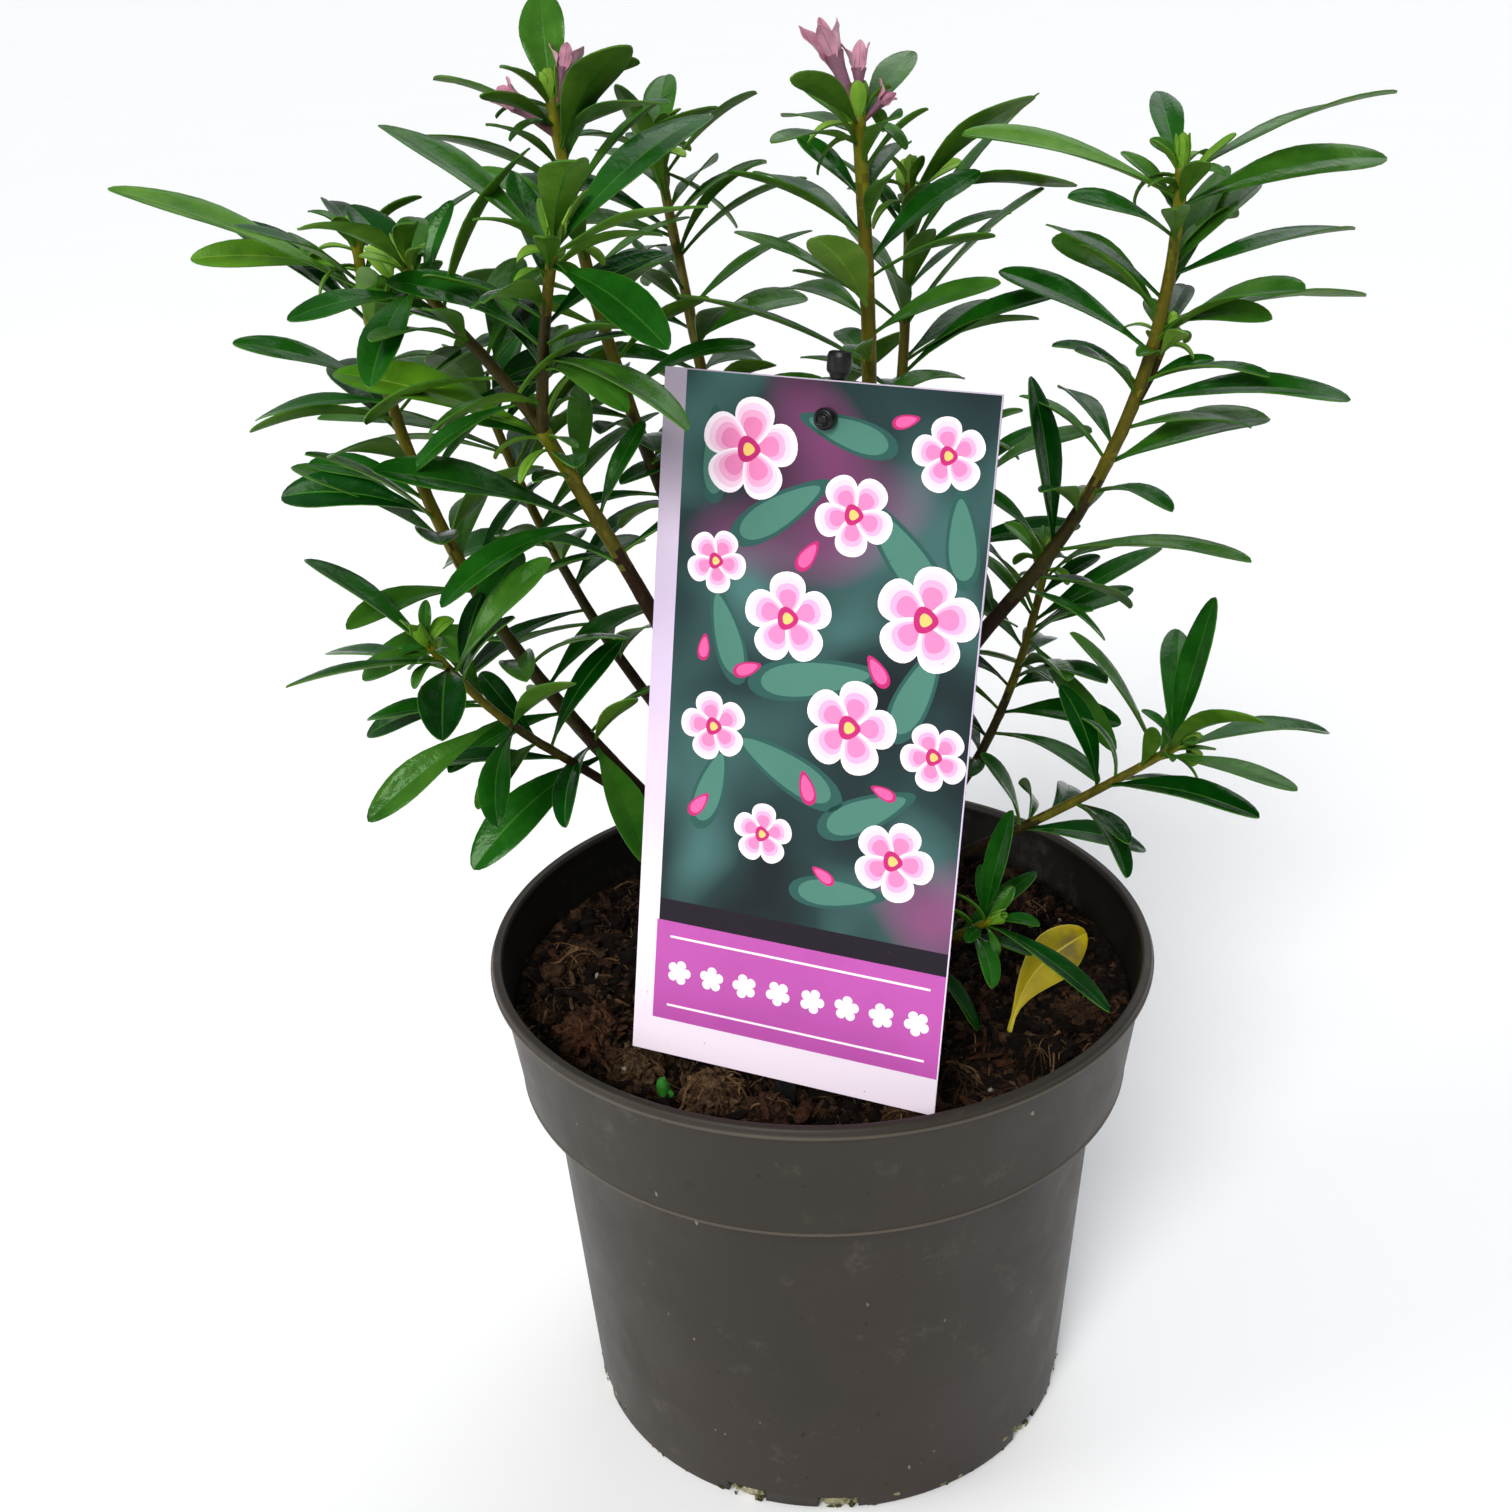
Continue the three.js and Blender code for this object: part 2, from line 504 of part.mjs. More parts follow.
// A faded flower: a slim tube whose mouth opens into four lobes that stand up round a shallow cup.
function flowerSolid(line, [at, azimuth, lean, size]) {
  const foot = line.spot(at);
  const way = heading(azimuth, 90 - lean);
  const [first, second] = across(way);
  const tube = [[FLOWER.foot, 0], [FLOWER.neck, 0.7 * FLOWER.tube], [FLOWER.mouth, FLOWER.tube]];
  const lobe = [FLOWER.spread, FLOWER.tube + FLOWER.lobe];
  const cleft = [FLOWER.mouth + FLOWER.cup / 2, FLOWER.tube + 2 * FLOWER.cup];
  const cup = [0, FLOWER.tube + FLOWER.cup];
  return rings(8, tube.length, false, (x, z, f) => {
    const level = Math.round(f * tube.length);
    const inLobe = Math.round(Math.atan2(x, z) / (Math.PI / 4)) % 2 === 0;
    const mouth = x === 0 && z === 0 ? cup : (inLobe ? lobe : cleft);
    const [radius, height] = level < tube.length ? tube[level] : mouth;
    return foot.clone().addScaledVector(way, height * size)
      .addScaledVector(first, x * radius * size).addScaledVector(second, -z * radius * size);
  });
}

// A mass of foliage: its stem and twigs, with buds, flowers and every leaf that finds a free place.
function foliageSolid(shoot, roll) {
  const line = lines[shoot.name];
  const start = shoot.bare + GAP / line.length;
  const parts = [limb(line, start, 1, thickness(shoot.thick), TWIG_SIDES, TWIG_STEP)];
  const sprays = [[line, shoot.bare, shoot]];
  for (const twig of shoot.twigs ?? []) {
    const twigLine = course(line.spot(twig.at ?? 1), twig);
    const thick = TWIG_THICK.map((share) => share * shoot.thick[1]);
    parts.push(limb(twigLine, 0, 1, thickness(thick), TWIG_SIDES, TWIG_STEP));
    parts.push(budSolid(twigLine, thick[1]));
    sprays.push([twigLine, TWIG_BARE, twig]);
  }
  if (!shoot.twigs || shoot.twigs[0].at) parts.push(budSolid(line, shoot.thick[1]));
  for (const [stem, bare, spray] of sprays) {
    for (const leaf of leavesOf(stem, bare, spray, roll)) {
      if (leaf.length < SMALLEST) continue;
      for (const turn of TURNS) {
        const way = leaf.way.clone().applyAxisAngle(UP, rad(turn));
        if (touches(leafSolid({ ...leaf, way }, CLEAR), shoot.name)) continue;
        parts.push(leafSolid({ ...leaf, way }));
        occupy(shoot.name, parts[parts.length - 1]);
        break;
      }
    }
  }
  for (const flower of shoot.flowers ?? []) parts.push(flowerSolid(line, flower));
  return mainBody(Manifold.union(parts).subtract(boughSolid(shoot, GAP)));
}

// A fallen yellow leaf, leaning on the compost.
function fallenLeafSolid() {
  const [x, y] = FALLEN.foot;
  const foot = new THREE.Vector3(x, y, SOIL_LEVEL - GAP + lumps(x, y) + FALLEN.rest);
  return leafSolid({ ...FALLEN, foot, way: heading(FALLEN.turn, FALLEN.rise), light: UP });
}

// ---------------------------------------------------------------- assembly
const still = [
  ['pot', potSolid(), potPaint],
  ['soil', soilSolid().subtract(stakeSolid(GAP)), soilPaint],
  ['card', cardSolid(), cardPaint],
  ['card_stake', stakeSolid(), blackPaint],
  ['card_pin', pinSolid(), blackPaint],
  ['fallen_leaf', fallenLeafSolid(), yellowPaint],
];
for (const [name, solid, material] of still) {
  addMesh(name, solid, material);
  occupy(name, solid);
}

const trunk = trunkSolid();
addMesh('trunk', trunk, barkPaint);
occupy('trunk', trunk);
const cleared = [trunkSolid(GAP)];
for (const shoot of SHOOTS) {
  const bough = mainBody(cleared.reduce((solid, other) => solid.subtract(other), boughSolid(shoot)));
  cleared.push(boughSolid(shoot, GAP));
  addMesh('bough_' + shoot.name, bough, barkPaint);
  occupy('bough_' + shoot.name, bough);
}
for (const shoot of SHOOTS) {
  const line = lines[shoot.name];
  occupy(shoot.name, limb(line, shoot.bare, 1, thickness(shoot.thick), TWIG_SIDES, TWIG_STEP));
}
SHOOTS.forEach((shoot, i) => {
  addMesh('foliage_' + shoot.name, foliageSolid(shoot, dice(SEED + i)), leafPaint);
});

group.name = 'daphne_in_pot';
export default group;
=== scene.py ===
"""A daphne shrub in its nursery pot, with a plant card: the looks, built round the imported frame.

Until a piece is made, lengths are millimetres in the frame's own axes: +Z is up and -Y is the
front.  Azimuths are degrees from +X towards +Y.  The shoots grow by the rule of the part's
source, written again here and carried on to finer leaves.
"""

import math
import random

import bpy
from mathutils import Euler, Matrix, Vector, noise
from mathutils.bvhtree import BVHTree
from mathutils.kdtree import KDTree


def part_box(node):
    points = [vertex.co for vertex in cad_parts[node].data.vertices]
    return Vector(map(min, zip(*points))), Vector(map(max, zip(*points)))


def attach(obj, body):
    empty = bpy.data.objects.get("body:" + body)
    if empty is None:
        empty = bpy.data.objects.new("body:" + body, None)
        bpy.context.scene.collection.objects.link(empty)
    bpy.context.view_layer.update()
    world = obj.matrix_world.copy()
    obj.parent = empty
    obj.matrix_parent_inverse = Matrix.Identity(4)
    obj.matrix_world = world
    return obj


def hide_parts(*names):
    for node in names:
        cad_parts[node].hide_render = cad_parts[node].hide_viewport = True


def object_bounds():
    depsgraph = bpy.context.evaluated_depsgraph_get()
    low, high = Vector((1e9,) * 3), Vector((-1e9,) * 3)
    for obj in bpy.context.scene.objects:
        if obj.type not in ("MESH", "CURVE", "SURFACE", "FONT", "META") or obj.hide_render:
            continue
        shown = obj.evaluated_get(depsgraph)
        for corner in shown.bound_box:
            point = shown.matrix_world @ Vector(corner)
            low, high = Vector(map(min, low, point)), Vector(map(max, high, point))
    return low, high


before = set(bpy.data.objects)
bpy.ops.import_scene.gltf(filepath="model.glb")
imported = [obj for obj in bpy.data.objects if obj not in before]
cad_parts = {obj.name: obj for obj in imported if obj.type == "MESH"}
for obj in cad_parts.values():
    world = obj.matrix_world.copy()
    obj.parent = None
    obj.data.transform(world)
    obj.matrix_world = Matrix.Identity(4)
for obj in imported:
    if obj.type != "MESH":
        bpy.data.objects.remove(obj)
cad_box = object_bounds()
MM = 0.001
UP = Vector((0, 0, 1))
LIGHT = Vector((0, -0.45, 1)).normalized()  # leaves face a light above the front
rad = math.radians

# ---- driving dimensions
IMAGE = 1512                                # the picture's width and height in pixels
CAMERA = {"away": 515, "above": 31.05, "down": 25.42, "yaw": -2.15, "roll": -2.13, "focal": 1767}

POT = {"height": 151, "rim": 95, "base": 73.5, "wall": 1.4, "floor": 3.8, "collar": 38,
       "collar_foot": 88.8, "wall_top": 81, "lip": 2.2, "lip_height": 2.6}
NOTCH = {"pairs": 5, "first": 261, "apart": 10.5, "width": 11.5, "height": 5, "relief": 43,
         "relief_height": 1.2}
PAD_RADIUS, FOOT_WIDTH, ARCH = 22, 9, 2.2   # the underside: flat pad, flat ring, raised between
COLLAR_FOOT = POT["height"] - POT["collar"]

SOIL_LEVEL, SOIL_LUMP, SOIL_RADIUS = 134, 2.2, 89
TRUNK = {"foot": 10, "top": 6.4, "turn": (40, 40, 40), "rise": (86, 86, 88), "length": 17}

CARD = {"width": 85, "height": 180, "thickness": 0.6,
        "foot": (-11.4, -59.2, 141), "yaw": -21, "tilt": -11.8, "roll": 1.1}
PIN = {"x": 0.5, "z": 171, "head": 2.7, "length": 4.4, "shank": 1.5, "hole": 1.9}
STAKE = {"x": 1.6, "width": 6, "thickness": 2.6, "above": 7, "below": 52, "point": 9}
GAP = 0.3

LEAF = {"length": 56, "slim": 0.2, "extra_width": 1.4}
GOLDEN = 137.5                              # degrees from one leaf to the next round a stem
LIFT = 0.28                                 # how much every leaf turns towards the light
CROWDING = 1.35                             # leaves stand closer towards the tip
TOP_LEAVES = 3                              # the leaves that stand up round the bud
OPEN = {"top": 54, "top_step": 5, "upper": 46, "lower": 8, "power": 0.7}
HANG = {"upper": 22, "lower": 46}           # degrees through which leaves arch, tip to foot
REACH_ARCH = (20, 46)                       # least and most arch of the furthest leaves
TURNS = (0, 9, -9, 18, -18, 27, -27)        # a leaf that would touch something tries these
TWIG_THICK, TWIG_BARE = (0.9, 0.7), 0.08
SEED, STEP = 11, 6
SEEDLING = (-41.6, -58)
LUMPS = [(-65, -29, 8.6, 3), (-50, -45, 8.2, 2), (-28, -60, 9.2, 2), (-14, -66, 6.5, 1),
         (-80, -17, 4.2, 1), (60, -44, 7.5, 0), (74, -24, 6.5, 1), (48, -58, 5.5, 0),
         (-72, 12, 6.5, 1), (-58, 40, 7, 0), (20, -72, 6, 1), (40, 62, 7, 1), (-20, 70, 7.5, 3),
         (66, 30, 6, 0)]                    # place, half width, tone
FALLEN = {"foot": (52, -30), "rest": 1.8, "turn": 52, "rise": 14,
          "length": 48, "width": 13, "arch": 12, "roll": 35}

# ---- the shoots
# on, at: what the shoot grows from and how far along;  turn and rise: azimuth and degrees above
# level at foot, middle and tip;  thick: radius at foot and tip;  bare: the leafless share;
# leaves, size, phase: its seeded foliage;  reach: its furthest leaves, each as how far along the
# stem, azimuth, rise and length, its breadth where that differs and its tone where that is dealt
# to it;  twigs: leafy side stems;  flowers: how far along the stem each one stands, azimuth and
# degrees of lean, and size.


def shoot(name, on, at, turn, rise, length, thick, bare, leaves, size, phase,
          reach=(), twigs=(), flowers=()):
    return dict(locals())


def twig(turn, rise, length, leaves, size, phase, reach=(), at=1):
    return dict(locals())


SUNLIT = 8                                  # the tone of the brightest large leaves

SHOOTS = [
    shoot("left_front", "trunk", 0.8, (188, 195, 234), (66, 69, 58), 176, (3.1, 2.1), 0.7,
          6, 0.9, 20, [(0.99, 166, 10, 60, 1, SUNLIT), (0.81, 205, 22, 60)], [
              twig((300, 310, 330), (80, 76, 74), 45, 9, 0.85, 70, [
                  (0.98, 150, 27, 56, 0.8), (0.98, 40, 22, 60, 0.85), (0.96, 318, 15, 48, 0.85),
                  (0.9, 310, -17, 44), (0.4, 312, -8, 54), (0.99, 285, 32, 44),
                  (0.7, 254, 10, 36)]),
              twig((174, 171, 166), (58, 49, 53), 49, 10, 0.85, 160, [
                  (0.98, 257, 20, 42), (0.88, 262, -18, 45), (0.75, 135, 25, 45)])]),
    shoot("left_side", "trunk", 0.7, (181, 176, 168), (40, 57, 90), 238, (3.0, 1.6), 0.34,
          23, 0.88, 193, [
              (0.95, 200, 22, 64, 0.9, SUNLIT), (0.97, 170, 2, 48, 0.8, SUNLIT),
              (0.83, 170, -10, 42), (0.66, 160, 20, 52), (0.69, 235, 35, 46), (0.38, 300, 40, 32),
              (0.36, 223, -24, 50, 1.15), (0.38, 270, -28, 44, 1.15)]),
    shoot("left_low", "left_side", 0.23, (200, 214, 224), (44, 42, 60), 100, (1.7, 1.2), 0.36,
          6, 0.75, 60, [
              (0.93, 145, 25, 48), (0.93, 230, 8, 44), (0.9, 165, -8, 42), (0.88, 67, 24, 46),
              (0.88, 335, 42, 42), (0.9, 277, 0, 44), (0.67, 213, -28, 44), (0.76, 178, -25, 38),
              (0.54, 250, -6, 34), (0.44, 180, -7, 42)]),
    shoot("rear_left", "trunk", 0.9, (146, 155, 142), (77, 64, 82), 240, (2.9, 1.7), 0.52,
          20, 0.85, 110, [(0.99, 110, 64, 30, 1.5), (0.96, 315, 13, 44), (0.97, 242, 20, 30)],
          flowers=[(0.96, 192, 50, 1), (0.98, 40, 20, 0.95)]),
    shoot("rear_inner", "rear_left", 0.14, (116, 118, 112), (66, 68, 62), 194, (2.4, 1.6), 0.5,
          19, 0.85, 300, [(0.98, 93, 30, 40), (0.97, 43, -35, 38)]),
    shoot("centre", "trunk", 1.0, (34, 30, 160), (82, 83, 87), 222, (3.0, 2.0), 0.5,
          11, 0.75, 15, [
              (0.99, 60, 22, 38), (0.99, 246, 22, 38), (0.98, 122, 3, 38), (0.97, 238, 7, 38),
              (0.79, 252, 33, 44, 1.2, SUNLIT), (0.87, 137, 15, 46), (0.73, 200, 22, 54)],
          flowers=[(1, 180, 23, 1.2), (1, 80, 6, 0.85), (0.99, 15, 48, 0.6)]),
    shoot("centre_rear", "centre", 0.1, (64, 60, 84), (64, 70, 80), 188, (2.3, 1.5), 0.5,
          10, 0.8, 220, [
              (0.98, 318, 6, 52), (0.8, 323, 42, 54), (0.73, 332, 27, 52), (0.97, 307, 34, 50),
              (0.84, 275, 40, 34), (0.9, 350, 45, 54)]),
    shoot("right", "trunk", 0.8, (-2, 4, 14), (77, 49, 92), 234, (3.1, 1.7), 0.44,
          8, 0.75, 140, [
              (0.99, 20, 14, 64, 0.7), (0.96, 18, 7, 60, 0.9), (0.89, 15, 6, 54),
              (0.82, 305, 23, 48), (0.84, 10, 3, 56), (0.75, 332, 2, 54), (0.68, 8, 3, 50),
              (0.86, 50, 38, 46, 1.3), (0.97, 195, 17, 58, 1, SUNLIT), (0.81, 152, 18, 48),
              (0.85, 132, 20, 42), (0.93, 222, 18, 38), (0.99, 95, 30, 34), (0.57, 325, 6, 54),
              (0.57, 215, 70, 46)],
          [twig((30, 10, 0), (50, 66, 76), 22, 5, 0.6, 0, at=0.74)]),
    shoot("right_rear", "right", 0.08, (20, 32, 50), (12, 56, 74), 116, (2.0, 1.3), 0.42,
          12, 0.75, 30, [(0.84, 356, 26, 42), (0.8, 304, -38, 42), (0.7, 295, 18, 46)]),
    shoot("right_low", "trunk", 0.6, (-24, -10, -8), (52, 30, 36), 122, (2.0, 1.3), 0.5,
          5, 0.7, 250, [
              (0.98, 290, 62, 44), (0.98, 75, 25, 44), (0.97, 284, 30, 44), (0.98, 10, -4, 48),
              (0.96, 306, 6, 42), (0.82, 309, 5, 46), (0.95, 205, 50, 44), (0.6, 6, -22, 42)]),
    shoot("right_foot", "trunk", 0.4, (-50, -48, -46), (24, 32, 40), 78, (1.5, 1.1), 0.35,
          7, 0.7, 10, [(0.95, 290, 64, 34), (0.96, 303, -4, 46, 0.6)]),
    shoot("back_left", "rear_left", 0.1, (168, 150, 140), (40, 52, 68), 168, (2.2, 1.4), 0.42,
          17, 0.95, 80),
    shoot("back", "centre", 0.06, (100, 98, 96), (50, 56, 70), 142, (2.2, 1.4), 0.4, 16, 0.95, 130),
    shoot("back_right", "right", 0.08, (62, 58, 50), (40, 54, 66), 140, (2.2, 1.4), 0.4,
          15, 0.9, 340),
    shoot("front", "trunk", 0.5, (264, 262, 258), (48, 74, 86), 104, (1.7, 1.2), 0.3,
          10, 0.72, 200),
]


# ---- small helpers
def circle(count):
    """Angles, evenly spaced, once round."""
    return [2 * math.pi * i / count for i in range(count)]


def polar(r, angle, z=0.0):
    return r * math.cos(angle), r * math.sin(angle), z


def between(first, second, angle):
    """The direction at this angle from first towards second, which stands square to it."""
    return first * math.cos(angle) + second * math.sin(angle)


def link(name, data):
    made = bpy.data.objects.new(name, data)
    bpy.context.scene.collection.objects.link(made)
    return made


# ---- camera, light and floor
def make_camera():
    data = bpy.data.cameras.new("view_camera")
    data.sensor_width = 36
    data.lens = data.sensor_width * CAMERA["focal"] / IMAGE
    down, yaw, roll, above = (rad(CAMERA[key]) for key in ("down", "yaw", "roll", "above"))
    ahead = Vector((math.sin(yaw) * math.cos(down), math.cos(yaw) * math.cos(down),
                    -math.sin(down)))
    level = Vector((math.cos(yaw), -math.sin(yaw), 0))
    over = level.cross(ahead)
    right, top = between(level, over, roll), over * math.cos(roll) - level * math.sin(roll)
    place = Matrix((right, top, -ahead)).transposed().to_4x4()
    place.translation = MM * Vector((0, -CAMERA["away"] * math.cos(above),
                                     POT["height"] + CAMERA["away"] * math.sin(above)))
    camera = link("view_camera", data)
    camera.matrix_world = place
    bpy.context.scene.camera = camera


def sun_light(name, softness, source, strength, colour):
    """An even light from far away towards source, as wide as softness in degrees."""
    data = bpy.data.lights.new(name, "SUN")
    data.angle, data.energy, data.color = rad(softness), strength, colour
    link(name, data).rotation_euler = Vector(source).to_track_quat("Z", "Y").to_euler()


def side_light(place, size, power, colour):
    """A square light at place, in metres, that faces the middle of the plant."""
    data = bpy.data.lights.new("side_light", "AREA")
    data.size, data.energy, data.color = size, power, colour
    light = link("side_light", data)
    light.location = place
    aim = Vector((0, 0, 0.22)) - Vector(place)
    light.rotation_euler = aim.to_track_quat("-Z", "Y").to_euler()


def make_studio():
    world = bpy.data.worlds.new("studio")
    bpy.context.scene.world = world
    world.use_nodes = True
    sky = world.node_tree.nodes["Background"]
    sky.inputs["Color"].default_value = (0.93, 0.96, 1.0, 1)
    sky.inputs["Strength"].default_value = 0.36
    sun_light("key_light", 24, (-0.45, -1.35, 1.15), 2.5, (1.0, 0.99, 0.97))
    sun_light("back_light", 50, (0.45, 1.0, 1.3), 0.9, (0.96, 0.98, 1.0))
    side_light((-1.45, -0.35, 0.62), 0.7, 9, (1.0, 0.98, 0.96))
    bpy.context.scene.view_settings.view_transform = "Standard"


# ---- materials
def tint(red, green, blue):
    """A colour as seen on screen, 0 to 255 a channel, in the linear values that shaders take."""
    def linear(value):
        share = value / 255
        return share / 12.92 if share <= 0.04045 else ((share + 0.055) / 1.055) ** 2.4
    return (linear(red), linear(green), linear(blue), 1.0)


def shade(colour, share):
    """The colour made darker or lighter."""
    return tuple(min(c * share, 1) for c in colour[:3]) + (1,)


class Paint:
    """A procedural material: a principled shader whose colour and bump come from noise."""

    def __init__(self, name, roughness, gloss=None):
        self.material = bpy.data.materials.new(name)
        self.material.use_nodes = True
        self.tree = self.material.node_tree
        self.shader = self.tree.nodes["Principled BSDF"].inputs
        self.shader["Roughness"].default_value = roughness
        if gloss is not None:
            self.shader["Specular IOR Level"].default_value = gloss
        self.relief = None

    def put(self, socket, value):
        if isinstance(value, bpy.types.NodeSocket):
            self.tree.links.new(value, socket)
        else:
            socket.default_value = value

    def node(self, kind, settings=(), **inputs):
        made = self.tree.nodes.new(kind)
        for key, value in dict(settings).items():
            setattr(made, key, value)
        for key, value in inputs.items():
            self.put(made.inputs[key.replace("_", " ")], value)
        return made

    def place(self, stretch=(1, 1, 1)):
        """Object coordinates in metres, times stretch."""
        spot = self.node("ShaderNodeTexCoord").outputs["Object"]
        return self.node("ShaderNodeMapping", Vector=spot, Scale=stretch).outputs["Vector"]

    def noise(self, scale, detail, roughness, distortion=0.0, stretch=(1, 1, 1)):
        made = self.node("ShaderNodeTexNoise", Scale=scale, Detail=detail, Roughness=roughness,
                         Distortion=distortion, Vector=self.place(stretch))
        return made.outputs["Fac"]

    def ramp(self, value, *stops):
        """stops are (place, colour) pairs."""
        made = self.node("ShaderNodeValToRGB", Fac=value)
        elements = made.color_ramp.elements
        while len(elements) < len(stops):
            elements.new(0.5)
        for element, (place, colour) in zip(elements, stops):
            element.position, element.color = place, colour
        return made.outputs["Color"]

    def mix(self, share, first, second):
        made = self.node("ShaderNodeMix", {"data_type": "RGBA"})
        for index, value in ((0, share), (6, first), (7, second)):
            self.put(made.inputs[index], value)
        return made.outputs[2]

    def spots(self, under, over, grain, start, full, most=1.0):
        """The colour under, with over where a noise passes start: its most from full on."""
        share = self.ramp(self.noise(*grain), (start, (0, 0, 0, 1)), (full, (most,) * 3 + (1,)))
        return self.mix(share, under, over)

    def map_range(self, *values):
        """values: the number, its range's low and high end, and what they become."""
        made = self.node("ShaderNodeMapRange")
        for index, value in enumerate(values):
            self.put(made.inputs[index], value)
        return made.outputs[0]

    def colour(self, value):
        self.put(self.shader["Base Color"], value)

    def bump(self, height, depth, strength=1.0):
        """Adds relief: depth is in metres."""
        made = self.node("ShaderNodeBump", Height=height, Distance=depth, Strength=strength)
        if self.relief is not None:
            self.tree.links.new(self.relief, made.inputs["Normal"])
        self.relief = made.outputs["Normal"]
        self.put(self.shader["Normal"], self.relief)


def grained(name, grain, stops, bumps, roughness, gloss=None):
    """A material whose colour follows one noise. bumps: noises, None for that one, with depths."""
    paint = Paint(name, roughness, gloss)
    value = paint.noise(*grain)
    paint.colour(paint.ramp(value, *((at, tint(*colour)) for at, colour in stops)))
    for relief, depth, strength in bumps:
        paint.bump(paint.noise(*relief) if relief else value, depth, strength)
    return paint


SHEEN = (0.7, 1.0, 0.6, 1.0)                 # a leaf's gloss is faintly green


def leaf_paint(name, dark, light, roughness=0.22, gloss=0.17):
    """A leathery skin between two greens, with fine relief that breaks up its gloss."""
    paint = grained(name, (55, 4, 0.62), ((0.34, dark), (0.66, light)),
                    (((240, 3, 0.6), 0.0005, 0.55), ((1400, 2, 0.5), 0.00008, 0.4)),
                    roughness, gloss)
    paint.shader["Specular Tint"].default_value = SHEEN
    return paint.material


def bark_paint(name, colour, patch, roughness=0.62):
    paint = Paint(name, roughness, 0.14)
    grain = paint.noise(240, 5, 0.65, 0.6, (1, 1, 0.28))
    base = paint.ramp(grain, (0.3, shade(tint(*colour), 0.62)), (0.7, shade(tint(*colour), 1.25)))
    paint.colour(paint.spots(base, tint(*patch), (520, 3, 0.6), 0.6, 0.72))
    paint.bump(grain, 0.0006, 0.7)
    paint.bump(paint.noise(900, 3, 0.6, 0, (1, 1, 0.4)), 0.0002, 0.6)
    return paint.material


def loose_paint(name, dark, light):
    """Rough matter whose tone changes from grain to grain."""
    return grained(name, (520, 6, 0.8), ((0.36, dark), (0.66, light)), ((None, 0.0012, 1.0),),
                   0.9, 0.12).material


def bed_paint(name, dark, middle, light):
    return grained(name, (420, 6, 0.75), ((0.36, dark), (0.52, middle), (0.68, light)),
                   ((None, 0.0012, 0.9), ((1300, 3, 0.7), 0.0004, 0.8)), 0.95, 0.08).material


def black_paint(name, roughness):
    return grained(name, (500, 4, 0.7), ((0.5, (9, 9, 10)), (0.8, (36, 36, 36))),
                   (((900, 3, 0.6), 0.00006, 0.6),), roughness, 0.3).material


def pot_paint(name, pale):
    """Scuffed taupe plastic: pale above 1 makes it paler as a painted highlight, below 1 darker as
    painted shade.
    """
    paint = Paint(name, 0.45, 0.22)
    base, warm = shade(tint(48, 44, 37), pale), shade(tint(53, 45, 40), pale)
    colour = paint.ramp(paint.noise(9, 2, 0.5, 0.3), (0.4, shade(base, 0.9)), (0.7, warm))
    for over, grain, start, full, most in (
            ((134, 126, 112), (60, 8, 0.78), 0.57, 0.78, 0.22),
            ((28, 24, 20), (330, 1, 0.4), 0.765, 0.785, 0.8),
            ((150, 142, 130), (420, 1, 0.4, 0, (1, 1, 0.6)), 0.79, 0.82, 0.5)):
        colour = paint.spots(colour, tint(*over), grain, start, full, most)
    paint.colour(colour)
    paint.put(paint.shader["Roughness"],
              paint.map_range(paint.noise(40, 4, 0.6), 0.3, 0.7, 0.4, 0.55))
    paint.bump(paint.noise(1800, 2, 0.5), 0.00003, 0.4)
    return paint.material


# ---- meshes
class Heap:
    """Points and faces, in millimetres, of the many small shapes that one piece joins."""

    def __init__(self):
        self.points, self.faces, self.slots = [], [], []

    def skin(self, rings, slot=0):
        """Joins closed rings of equal size. slot: a number, or what slot(ring, corner) returns."""
        first, size, tubes = len(self.points), len(rings[0]), len(rings) - 1
        pick = slot if callable(slot) else lambda i, j: slot
        self.points += [tuple(p) for ring in rings for p in ring]
        for i in range(tubes):
            for j in range(size):
                a, b = first + i * size + j, first + i * size + (j + 1) % size
                self.faces.append((a, b, b + size, a + size))
                self.slots.append(pick(i, j))
        last = first + tubes * size
        self.faces += [tuple(range(first + size - 1, first - 1, -1)),
                       tuple(range(last, last + size))]
        self.slots += [pick(0, 0), pick(tubes - 1, 0)]

    def piece(self, name, materials, slot, replaces=(), sharp=40):
        mesh = bpy.data.meshes.new(name)
        low, high = cad_box
        mesh.from_pydata([[min(max(MM * p[k], low[k]), high[k]) for k in range(3)]
                          for p in self.points], [], self.faces)
        for material in materials:
            mesh.materials.append(material)
        mesh.polygons.foreach_set("material_index", self.slots)
        mesh.validate()
        mesh.shade_smooth()
        mesh.set_sharp_from_angle(angle=rad(sharp))
        made = link(name, mesh)
        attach(made, "root")
        if replaces:
            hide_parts(*replaces)
        return made


def cut_away(piece, heap):
    """Takes the heap's shapes out of the piece."""
    mesh = bpy.data.meshes.new("cutter")
    mesh.from_pydata([(MM * x, MM * y, MM * z) for x, y, z in heap.points], [], heap.faces)
    cutter = link("cutter", mesh)
    modifier = piece.modifiers.new("cut", "BOOLEAN")
    modifier.object, modifier.operation, modifier.solver = cutter, "DIFFERENCE", "EXACT"
    shape = piece.evaluated_get(bpy.context.evaluated_depsgraph_get())
    made = bpy.data.meshes.new_from_object(shape)
    piece.modifiers.clear()
    piece.data = made
    bpy.data.objects.remove(cutter)
    bpy.data.meshes.remove(mesh)


def lathe(profile, segments):
    """Rings about the Z axis through the (radius, height) points of a profile."""
    return [[polar(r, a, z) for a in circle(segments)] for r, z in profile]


